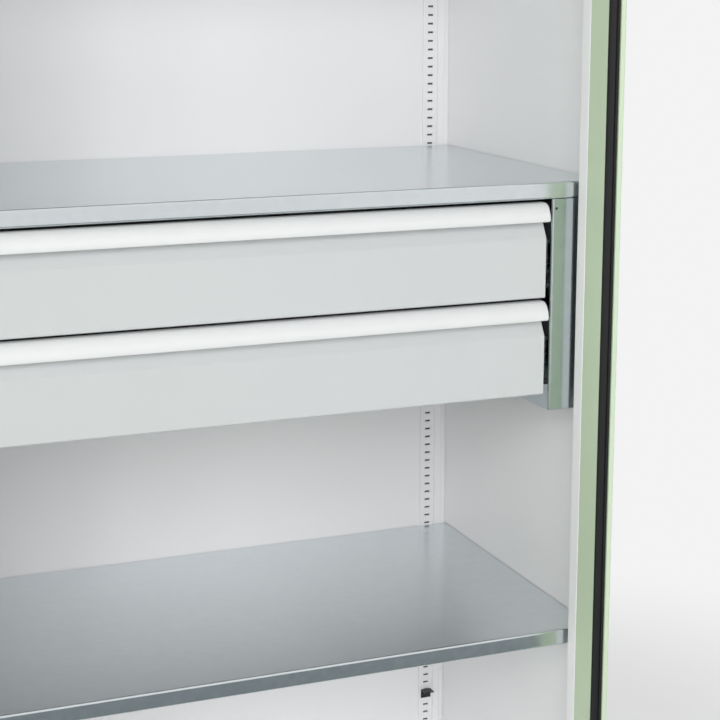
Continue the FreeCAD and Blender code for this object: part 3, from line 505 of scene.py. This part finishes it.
def rounded_ends(length: float, rounding: float, steps: int) -> tuple[Array, Array]:
    """Stations along a piece whose ends round over.

    At the distance t from an end, an outline draws in by r - sqrt(r^2 - (r - t)^2).

    Args:
        length: The piece's length.
        rounding: The ends' radius r.
        steps: How many stations each end has.

    Returns:
        The stations from 0 to the length, and how far the outline draws in at each.
    """
    lean = np.linspace(0.0, math.pi / 2, steps)
    start, inset = rounding * (1 - np.cos(lean)), rounding * (1 - np.sin(lean))
    return np.concatenate([start, (length - start)[::-1]]), np.concatenate([inset, inset[::-1]])


@dataclass(frozen=True)
class PanHead:
    """Pan-head screws with a cross recess."""

    radius: float = 4.6 * MM
    height: float = 2.6 * MM
    recess: float = 1.5 * MM
    arm: float = 2.5 * MM
    arm_half: float = 0.6 * MM
    fade: float = 0.25 * MM
    dome_power: int = 5
    dome_root: float = 2.4
    rim_share: float = 0.35
    crown: float = 0.02
    rows: int = 15
    sides: int = 40

    def rings(self, centres: Array, across: Array, upward: Array, axis: Array) -> Array:
        """The heads' skins on their seats.

        The outline rises as height (1 - (r / radius)^power)^(1 / root). Two crossed troughs are pressed in,
        each fading at its sides and ends.

        Args:
            centres: The seats' middles, one row each.
            across: The recess's first direction.
            upward: Its second direction.
            axis: The way that the heads face.

        Returns:
            The points, heads by rings by points by three.
        """
        share = np.concatenate([[1.0], np.sin(np.linspace(math.pi / 2, self.crown, self.rows))])
        angle = np.linspace(0.0, 2 * math.pi, self.sides, endpoint=False)
        flat_x = self.radius * share[:, None] * np.cos(angle)
        flat_y = self.radius * share[:, None] * np.sin(angle)
        dome = self.height * (1 - share ** self.dome_power).clip(0.0) ** (1 / self.dome_root)
        dome[1] = self.rim_share * self.height
        thin, long = np.minimum(abs(flat_x), abs(flat_y)), np.maximum(abs(flat_x), abs(flat_y))
        beside = (1 + (self.arm_half - thin) / self.fade).clip(0, 1)
        along = (1 + (self.arm - long) / self.fade).clip(0, 1)
        rise = dome[:, None] - self.recess * beside * along
        skin = flat_x[..., None] * across + flat_y[..., None] * upward + rise[..., None] * axis
        return centres[:, None, None, :] + skin[None]


HINGE_HEAD = PanHead(radius=3.6 * MM, height=1.5 * MM, recess=0.9 * MM, arm=2.0 * MM, arm_half=0.45 * MM)


@dataclass
class SubAssembly:
    """A group of nodes with their finishes, and the fine pieces made for it."""

    wardrobe: Wardrobe
    coats: dict[Coat, tuple[str, ...]] = field(default_factory=dict)

    def dress_nodes(self) -> None:
        """Give each node its finish."""
        for coat, names in self.coats.items():
            for name in names:
                self.wardrobe.dress(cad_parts[name], coat)
                LOG.info("node %s wears %s", name, coat.name.lower())

    def settle(self, piece: bpy.types.Object, coat: Coat, body: str, *nodes: str) -> None:
        """Dress a fine piece and let it ride on its body, in place of nodes if any are named.

        Args:
            piece: The piece.
            coat: Its finish.
            body: The body that carries it.
            *nodes: The nodes that it stands for.
        """
        self.wardrobe.dress(piece, coat)
        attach(piece, body)
        if nodes:
            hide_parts(*nodes)
        LOG.info("piece %s rides on %s", piece.name, body)


@dataclass
class Carcase(SubAssembly):
    """The shell with its plinth, uprights and shelves."""

    slot_half: float = 4.7 * MM
    shade_half: float = 0.15 * MM
    shade_gap: float = 0.1 * MM
    rear_slot_x: float = 431.5 * MM
    front_slot_y: float = 14.0 * MM
    shade_low: float = 190.0 * MM
    shade_high: float = 1897.0 * MM
    hinge_screw_y: float = -8.0 * MM

    def slot_shades(self) -> None:
        """A dark strip behind each row of slots, for the unlit hollow that a real upright has there.

        Its section is a superellipse of power 6, carried upwards and drawn in at its ends.
        """
        rear_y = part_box("back_panel")[0].y - self.shade_gap - self.shade_half
        front_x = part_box("upright_front_right")[1].x - self.shade_gap - self.shade_half
        place, inset = rounded_ends(self.shade_high - self.shade_low, self.slot_half / 2, steps=5)
        section = superellipse(1.0, 1.0, power=6.0, count=24)
        wide = section[None, :, 0] * (self.slot_half - inset[:, None])
        deep = section[None, :, 1] * (self.shade_half + 0 * inset[:, None])
        tall = self.shade_low + place[:, None] + 0 * wide
        rings = [np.stack([side.value * (self.rear_slot_x + wide), rear_y + deep, tall], axis=-1)
                 for side in Side]
        rings += [np.stack([side.value * (front_x + deep), self.front_slot_y + wide, tall], axis=-1)
                  for side in Side]
        for name, ring in zip(("rear_left", "rear_right", "front_left", "front_right"), rings):
            self.settle(tubes_object("slot_shade_" + name, ring[None]), Coat.SHADE, "carcase")

    def hinge_screws(self) -> None:
        """Two pan heads on the wall's plate of each hinge."""
        plate_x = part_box("side_left")[0].x - HINGE_PLATE
        heights = np.array(HINGE_HEIGHTS)[:, None] + HINGE_SCREW_DROP * np.array([-1, 1])
        centres = np.stack([plate_x + 0 * heights, self.hinge_screw_y + 0 * heights, heights], axis=-1)
        rings = HINGE_HEAD.rings(centres.reshape(-1, 3), DOWN_Y, UP_Z, -RIGHT_X)
        self.settle(tubes_object("hinge_frame_screws", rings), Coat.STEEL, "carcase")

    def build(self) -> None:
        """Dress the shell and make its fine pieces."""
        self.dress_nodes()
        self.slot_shades()
        self.hinge_screws()


@dataclass
class Doorway(SubAssembly):
    """The green collar round the doorway and the seal in its rebate."""

    seal_width: float = 15.0 * MM
    bead_half: float = 4.8 * MM
    groove: float = 1.1 * MM
    lip_half: float = 2.2 * MM
    lip_height: float = 3.3 * MM
    lip_margin: float = 0.1 * MM
    fullness: float = 0.8
    steps: int = 8

    def seal_profile(self, height: float) -> Array:
        """The seal's section: a crowned bead, a groove and a flat lip.

        The bead and the lip are upper halves of superellipses, with cosine and sine to the fullness.

        Args:
            height: How far the bead stands above its seat.

        Returns:
            The section's points, each the distance outwards and the rise.
        """
        angle = np.linspace(math.pi, 0.0, 2 * self.steps + 1)
        wide = np.sign(np.cos(angle)) * np.abs(np.cos(angle)) ** self.fullness
        high = np.sin(angle) ** self.fullness
        bead = np.stack([self.bead_half * (1 + wide), height * high], axis=-1)
        lip_middle = self.seal_width - self.lip_margin - self.lip_half
        lip = np.stack([lip_middle + self.lip_half * wide, self.lip_height * high], axis=-1)
        bead[self.steps + 1:, 1] = np.maximum(bead[self.steps + 1:, 1], self.groove)
        lip[:self.steps, 1] = np.maximum(lip[:self.steps, 1], self.groove)
        return np.concatenate([bead, lip])

    def seal(self) -> None:
        """The seal: its section carried round the doorway with mitred corners."""
        low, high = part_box("seal")
        section = self.seal_profile(high.y - low.y)
        middle, half_height = (low.z + high.z) / 2, (high.z - low.z) / 2
        signs = np.array([[1, 1], [-1, 1], [-1, -1], [1, -1]])
        x = signs[:, :1] * (high.x - self.seal_width + section[:, 0])
        z = middle + signs[:, 1:] * (half_height - self.seal_width + section[:, 0])
        y = high.y - section[:, 1] + 0 * x
        seal = tubes_object("seal_bead", np.stack([x, y, z], axis=-1)[None], looped=True, crease=50.0)
        self.settle(seal, Coat.RUBBER, "carcase", "seal")

    def build(self) -> None:
        """Dress the collar and make the seal."""
        self.dress_nodes()
        self.seal()


@dataclass
class DrawerBlock(SubAssembly):
    """The two drawers in their zinc housing, with their slides."""

    handle_top_y: float = 2.0 * MM
    nose_bulge: tuple[float, float] = (-8.1 * MM, 7.0 * MM)
    lip_reach: float = 11.3 * MM
    lip_rounding: float = 1.1 * MM
    lip_run: float = 1.2
    nose_points: int = 22
    lip_points: int = 5
    strip_back_y: float = 12.0 * MM
    end_rounding: float = 2.2 * MM
    stop_height: float = 15.0 * MM
    stop_y: float = 8.0 * MM
    stop_half: tuple[float, float] = (3.4 * MM, 3.8 * MM)
    stop_reach: float = 4.2 * MM
    stop_power: float = 3.0
    stop_crown: float = 0.12

    def nose(self, top: float, low: float) -> Array:
        """The handle's section: a nose on the circle through three points, a rounded lip and a flat back.

        The circle's middle solves 2 (q - p) . c = q . q - p . p for the two later points q.

        Args:
            top: The handle's top.
            low: Its underside.

        Returns:
            The section's points as y and z.
        """
        start = np.array([self.handle_top_y, top])
        bulge = np.array([self.nose_bulge[0], top - self.nose_bulge[1]])
        end = np.array([-self.lip_reach, low])
        matrix = 2 * np.array([bulge - start, end - start])
        middle = np.linalg.solve(matrix, [bulge @ bulge - start @ start, end @ end - start @ start])
        radius = float(np.linalg.norm(start - middle))
        first, last = (math.atan2(point[1] - middle[1], point[0] - middle[0]) for point in (start, end))
        first, last = first % (2 * math.pi), last % (2 * math.pi)
        angle = np.linspace(first, last - self.lip_run * self.lip_rounding / radius, self.nose_points)
        arc = middle + radius * np.stack([np.cos(angle), np.sin(angle)], axis=-1)
        turn = np.linspace(0.0, 1.0, self.lip_points + 1)[1:, None]
        under = end + [self.lip_rounding, 0]
        lip = arc[-1] * (1 - turn) ** 2 + 2 * turn * (1 - turn) * end + turn ** 2 * under
        back = np.array([[self.strip_back_y, low], [self.strip_back_y, top]])
        return np.concatenate([arc, lip, back])

    def handle(self, drawer: str) -> None:
        """A drawer's handle strip: its section carried across, drawn in towards its middle at the ends.

        Args:
            drawer: Upper or lower.
        """
        caps = drawer + "_drawer_handle_caps"
        low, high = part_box(caps)
        section = self.nose(high.z, low.z)
        centre = section.mean(axis=0)
        reach = np.linalg.norm(section - centre, axis=1, keepdims=True)
        place, inset = rounded_ends(high.x - low.x, self.end_rounding, steps=7)
        drawn = centre + (section - centre) * (1 - inset[:, None, None] / reach)
        flat = np.minimum(drawn[..., 0], high.y)
        x = low.x + place[:, None] + 0 * flat
        strip = tubes_object(drawer + "_handle_strip", np.stack([x, flat, drawn[..., 1]], axis=-1)[None])
        self.settle(strip, Coat.HANDLE, drawer + "_drawer", drawer + "_drawer_handle", caps)

    def stops(self, drawer: str) -> None:
        """A stop pad on each housing wall beside a drawer's front, domed as a superellipse.

        Args:
            drawer: Upper or lower.
        """
        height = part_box(drawer + "_drawer_front")[0].z + self.stop_height
        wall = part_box("drawer_housing_right")[0].x
        rise = np.linspace(0.0, math.pi / 2 - self.stop_crown, 9)
        out = self.stop_reach * np.sin(rise) ** (2 / self.stop_power)
        share = np.cos(rise) ** (2 / self.stop_power)
        section = superellipse(*self.stop_half, self.stop_power, count=28)
        y = self.stop_y + share[:, None] * section[:, 0]
        z = height + share[:, None] * section[:, 1]
        for side in Side:
            x = side.value * (wall - out[:, None] + 0 * y)
            pad = tubes_object(f"{drawer}_stop_{side.name.lower()}", np.stack([x, y, z], axis=-1)[None])
            self.settle(pad, Coat.PLASTIC, "carcase")

    def build(self) -> None:
        """Dress the drawers and make their handles and stops."""
        self.dress_nodes()
        for drawer in ("upper", "lower"):
            self.handle(drawer)
            self.stops(drawer)


@dataclass
class Door(SubAssembly):
    """The door with its hinges, lock and rods, open in the rest pose."""

    case_head: PanHead = PanHead()
    hinge_screw_x: float = -496.0 * MM

    def case_screws(self) -> None:
        """The four pan heads that hold the lock case."""
        low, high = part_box("lock_case_screws")
        y = np.array([low.y, high.y]) + self.case_head.radius * np.array([1, -1])
        z = np.array([low.z, high.z]) + self.case_head.radius * np.array([1, -1])
        spots = np.stack(np.meshgrid(y, z), axis=-1).reshape(-1, 2)
        seat = high.x - self.case_head.height + 0 * spots[:, :1]
        rings = self.case_head.rings(np.concatenate([seat, spots], axis=1), -DOWN_Y, UP_Z, RIGHT_X)
        self.settle(tubes_object("lock_case_heads", rings), Coat.STEEL, "door", "lock_case_screws")

    def hinge_screws(self) -> None:
        """Two pan heads on the door's plate of each hinge."""
        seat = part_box("hinge_leaf_halves")[0].y + HINGE_PLATE
        heights = np.array(HINGE_HEIGHTS)[:, None] + HINGE_SCREW_DROP * np.array([-1, 1])
        centres = np.stack([self.hinge_screw_x + 0 * heights, seat + 0 * heights, heights], axis=-1)
        rings = HINGE_HEAD.rings(centres.reshape(-1, 3), RIGHT_X, UP_Z, -DOWN_Y)
        self.settle(tubes_object("hinge_leaf_screws", rings), Coat.STEEL, "door")

    def build(self) -> None:
        """Dress the door and make its screw heads."""
        self.dress_nodes()
        self.case_screws()
        self.hinge_screws()


def cabinet(wardrobe: Wardrobe) -> list[SubAssembly]:
    """The cabinet's sub-assemblies with the nodes that each dresses.

    Args:
        wardrobe: The finishes.

    Returns:
        The sub-assemblies.
    """
    return [
        Carcase(wardrobe, {
            Coat.CARCASE: ("side_left", "side_right", "back_panel", "top_panel", "floor_panel",
                           "upright_rear_right", "upright_rear_left", "upright_front_right",
                           "upright_front_left", "hinge_frame_halves"),
            Coat.PLINTH: ("plinth_front", "plinth_rear", "plinth_left", "plinth_right"),
            Coat.SHELF_ZINC: ("top_shelf", "upper_shelf", "lower_shelf"),
            Coat.CLIP: ("shelf_clips",),
            Coat.BLACK_CLIP: ("spare_clip",),
        }),
        Doorway(wardrobe, {
            Coat.GREEN: ("collar_left", "collar_right", "collar_top", "collar_bottom"),
            Coat.RUBBER: ("seal",),
        }),
        DrawerBlock(wardrobe, {
            Coat.HOUSING_ZINC: ("drawer_housing_right", "drawer_housing_left", "drawer_housing_tie"),
            Coat.STEEL: ("drawer_housing_screws",),
            Coat.SLIDE: ("slide_outer_members", "upper_slide_middle_members", "upper_slide_inner_members",
                         "lower_slide_middle_members", "lower_slide_inner_members"),
            Coat.DRAWER: ("upper_drawer_tray", "upper_drawer_front", "lower_drawer_tray",
                          "lower_drawer_front"),
            Coat.HANDLE: ("upper_drawer_handle", "upper_drawer_handle_caps", "lower_drawer_handle",
                          "lower_drawer_handle_caps"),
        }),
        Door(wardrobe, {
            Coat.GREEN: ("door_skin", "door_stiffeners", "hinge_leaf_halves"),
            Coat.STEEL: ("hinge_pins", "lock_spindle", "lock_rod_top", "lock_rod_bottom", "lock_case_screws"),
            Coat.CLIP: ("lock_case",),
            Coat.CHROME: ("lock_key_plug",),
            Coat.PLASTIC: ("lock_bush", "lock_escutcheon", "lock_grip", "rod_guides"),
        }),
    ]


@dataclass
class Stage:
    """The pale floor and the even backdrop."""

    reach: float = 30.0
    sink: float = 0.0005
    hub: float = 0.001
    rings: int = 24
    sides: int = 96
    fade_start: float = 1.3
    fade_end: float = 2.15
    painted_shade_start: float = 1.6
    # where the painted floor shade that glosses see starts and ends its fade to the backdrop's tone
    painted_shade_end: float = 5.0
    floor_colour: Colour = screen(232, 232, 231)
    floor_roughness: float = 0.75
    floor_specular: float = 0.15
    grain_scale: float = 9.0
    grain_dark: float = 0.985
    backdrop: Colour = screen(243, 243, 243)
    # painted shade: the darker grey that glosses see as the floor near the cabinet, a painted reflection
    painted_floor_shade: Colour = screen(124, 131, 134)
    ambient: float = 0.34
    ambient_colour: Colour = (0.97, 0.985, 1.0)

    def seen_directly(self, tree: bpy.types.NodeTree) -> bpy.types.NodeSocket:
        """Whether a ray comes from the camera, a gloss or a pane.

        Args:
            tree: The node tree to work in.

        Returns:
            The greatest of the three Light Path values.
        """
        path = tree.nodes.new("ShaderNodeLightPath")
        first = tree.nodes.new("ShaderNodeMath")
        first.operation = "MAXIMUM"
        tree.links.new(path.outputs["Is Camera Ray"], first.inputs[0])
        tree.links.new(path.outputs["Is Glossy Ray"], first.inputs[1])
        second = tree.nodes.new("ShaderNodeMath")
        second.operation = "MAXIMUM"
        tree.links.new(first.outputs[0], second.inputs[0])
        tree.links.new(path.outputs["Is Transmission Ray"], second.inputs[1])
        return second.outputs[0]

    def floor(self) -> bpy.types.Object:
        """The floor: a disc on a polar grid, x = r cos a and y = r sin a, with r growing as a square.

        Returns:
            The floor.
        """
        share = np.linspace(self.hub, 1.0, self.rings + 1)[:, None]
        angle = np.linspace(0.0, 2 * math.pi, self.sides, endpoint=False)[None, :]
        radius = self.reach * share ** 2
        depth = self.sink + 0 * radius * angle
        rings = np.stack([radius * np.cos(angle), radius * np.sin(angle), -depth], axis=-1)
        return mesh_object("stage_floor", rings, grid_faces(len(share), self.sides, looped=False).tolist(),
                           crease=40.0)

    def dress_floor(self, floor: bpy.types.Object) -> None:
        """Give the floor a matt tone near the cabinet that fades to the backdrop's further off.

        Args:
            floor: The floor.
        """
        board = Board("stage_floor")
        flat = board.add("ShaderNodeVectorMath")
        flat.operation = "LENGTH"
        board.put(flat.inputs[0], board.place)
        away = board.add("ShaderNodeMapRange", Value=flat.outputs["Value"], FromMin=self.fade_start,
                         FromMax=self.fade_end, ToMin=0.0, ToMax=1.0)
        away.interpolation_type = "SMOOTHSTEP"
        grain = board.spread(board.noise(self.grain_scale, detail=3.0), 0.0, 1.0)
        tone = board.blend(grain, shade(self.floor_colour, self.grain_dark), self.floor_colour)
        board.put(board.shader.inputs["Base Color"], tone)
        board.shader.inputs["Roughness"].default_value = self.floor_roughness
        board.shader.inputs["Specular IOR Level"].default_value = self.floor_specular
        glow = board.add("ShaderNodeEmission", Color=(*self.backdrop, 1.0), Strength=1.0)
        both = board.add("ShaderNodeMath")
        both.operation = "MULTIPLY"
        board.put(both.inputs[0], away.outputs["Result"])
        board.put(both.inputs[1], self.seen_directly(board.tree))
        mixed = board.add("ShaderNodeMixShader", Fac=both.outputs[0])
        board.put(mixed.inputs[1], board.shader.outputs[0])
        board.put(mixed.inputs[2], glow.outputs[0])
        board.put(board.tree.nodes["Material Output"].inputs["Surface"], self.with_painted_reflection(board, flat, mixed))
        floor.data.materials.append(board.material)

    def with_painted_reflection(self, board: Board, flat: bpy.types.Node, seen: bpy.types.Node) -> bpy.types.NodeSocket:
        """Paint the floor's reflection: near the cabinet a gloss sees a glowing duller grey of painted shade,
        as in a room, and the backdrop's tone further off.

        Args:
            board: The floor's material.
            flat: The node that gives the distance from the origin.
            seen: The shader that every other ray sees.

        Returns:
            The whole floor's shader.
        """
        away = board.add("ShaderNodeMapRange", Value=flat.outputs["Value"], FromMin=self.painted_shade_start,
                         FromMax=self.painted_shade_end, ToMin=0.0, ToMax=1.0)
        tone = board.blend(away.outputs["Result"], self.painted_floor_shade, self.backdrop)
        # a glow that only glosses see: a painted reflection of a shaded floor, not lit by any lamp
        painted_reflection_glow = board.add("ShaderNodeEmission", Color=tone, Strength=1.0)
        path = board.add("ShaderNodeLightPath")
        whole = board.add("ShaderNodeMixShader", Fac=path.outputs["Is Glossy Ray"])
        board.put(whole.inputs[1], seen.outputs[0])
        board.put(whole.inputs[2], painted_reflection_glow.outputs[0])
        return whole.outputs[0]

    def world(self) -> None:
        """An even ambient light, seen by the camera and in glosses as the backdrop."""
        world = bpy.data.worlds.new("studio")
        world.use_nodes = True
        tree = world.node_tree
        light = tree.nodes["Background"]
        light.inputs["Color"].default_value = (*self.ambient_colour, 1.0)
        light.inputs["Strength"].default_value = self.ambient
        seen = tree.nodes.new("ShaderNodeBackground")
        seen.inputs["Color"].default_value = (*self.backdrop, 1.0)
        seen.inputs["Strength"].default_value = 1.0
        mixed = tree.nodes.new("ShaderNodeMixShader")
        tree.links.new(self.seen_directly(tree), mixed.inputs["Fac"])
        tree.links.new(light.outputs[0], mixed.inputs[1])
        tree.links.new(seen.outputs[0], mixed.inputs[2])
        tree.links.new(mixed.outputs[0], tree.nodes["World Output"].inputs["Surface"])
        bpy.context.scene.world = world

    def build(self) -> None:
        """Put up the floor and the world."""
        floor = self.floor()
        self.dress_floor(floor)
        self.world()
        LOG.info("stage is up")


@dataclass(frozen=True)
class Softbox:
    """A square area lamp that looks at a point."""

    name: str
    place: Triple
    target: Triple
    side: float
    power: float
    passes_door: bool = False
    spares_outside: bool = False

    def build(self, door: bpy.types.Collection, outside: bpy.types.Collection) -> None:
        """Hang the lamp.

        Args:
            door: What casts no shadow in the light of a lamp that passes the door.
            outside: What isn't lit by a lamp that spares the outside.
        """
        data = bpy.data.lights.new(self.name, "AREA")
        data.shape = "SQUARE"
        data.size = self.side
        data.energy = self.power
        lamp = bpy.data.objects.new(self.name, data)
        bpy.context.scene.collection.objects.link(lamp)
        lamp.location = self.place
        lamp.visible_glossy = False
        aim = Vector(self.target) - Vector(self.place)
        lamp.rotation_euler = aim.to_track_quat("-Z", "Y").to_euler()
        if self.passes_door:
            lamp.light_linking.blocker_collection = door
        if self.spares_outside:
            lamp.light_linking.receiver_collection = outside


@dataclass(frozen=True)
class Lighting:
    """The studio's lamps.

    The two from the front left light the inside past the open door. The first leaves the door and the left
    side, which it would bleach, to the other lamps.
    """

    lamps: tuple[Softbox, ...] = (
        Softbox("front_left_softbox", (-2.0, -4.3, 2.25), (0.0, 0.2, 1.0), 2.4, 113.0, passes_door=True,
                spares_outside=True),
        Softbox("left_front_softbox", (-3.3, -3.0, 2.0), (0.0, 0.1, 1.0), 2.2, 54.0, passes_door=True),
        Softbox("front_right_softbox", (1.5, -4.4, 2.2), (0.0, 0.3, 1.1), 2.4, 46.0),
        Softbox("top_softbox", (0.2, -0.2, 4.8), (0.0, 0.2, 0.0), 3.0, 26.0),
        Softbox("left_softbox", (-4.4, 1.4, 2.2), (-0.4, 0.0, 1.0), 2.4, 30.0),
        Softbox("right_softbox", (4.2, 1.0, 2.2), (0.4, 0.1, 1.0), 2.4, 50.0),
        Softbox("rear_softbox", (-0.6, 4.6, 2.4), (0.0, 0.4, 1.0), 2.4, 70.0),
    )

    def left_out(self, name: str, nodes: list[str]) -> bpy.types.Collection:
        """A collection that leaves nodes out of what a lamp does to it.

        Args:
            name: The collection's name.
            nodes: The nodes that it leaves out.

        Returns:
            The collection.
        """
        group = bpy.data.collections.new(name)
        for node in nodes:
            group.objects.link(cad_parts[node])
        for entry in group.collection_objects:
            entry.light_linking.link_state = "EXCLUDE"
        return group

    def build(self, door_nodes: list[str]) -> None:
        """Hang the lamps.

        Args:
            door_nodes: The nodes of the door.
        """
        door = self.left_out("lamps_pass", door_nodes)
        outside = self.left_out("lamps_spare", [*door_nodes, "side_left", "hinge_frame_halves"])
        for lamp in self.lamps:
            lamp.build(door, outside)
            LOG.info("lamp %s hangs", lamp.name)


@dataclass(frozen=True)
class Viewpoint:
    """The camera of the main picture."""

    place: Triple = (-0.6276, -1.9169, 1.4132)
    turn: float = 21.6973
    tilt: float = 11.1849
    lens: float = 87.84
    shift: float = -0.07
    clip: tuple[float, float] = (0.05, 100.0)

    def build(self) -> None:
        """Set up the camera, turned from +Y towards +X and tilted down."""
        data = bpy.data.cameras.new("main_camera")
        data.lens = self.lens
        data.shift_y = self.shift
        data.clip_start, data.clip_end = self.clip
        camera = bpy.data.objects.new("main_camera", data)
        bpy.context.scene.collection.objects.link(camera)
        camera.location = self.place
        camera.rotation_euler = Euler((math.radians(90 - self.tilt), 0.0, -math.radians(self.turn)))
        bpy.context.scene.camera = camera
        LOG.info("camera stands at %s", self.place)


def main() -> None:
    """Dress the frame, add the fine pieces and set the scene."""
    bpy.context.scene.view_settings.view_transform = "Standard"
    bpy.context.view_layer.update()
    groups = cabinet(Wardrobe())
    for group in groups:
        group.build()
    Stage().build()
    Lighting().build([name for names in groups[-1].coats.values() for name in names])
    Viewpoint().build()


if __name__ == "__main__":
    main()
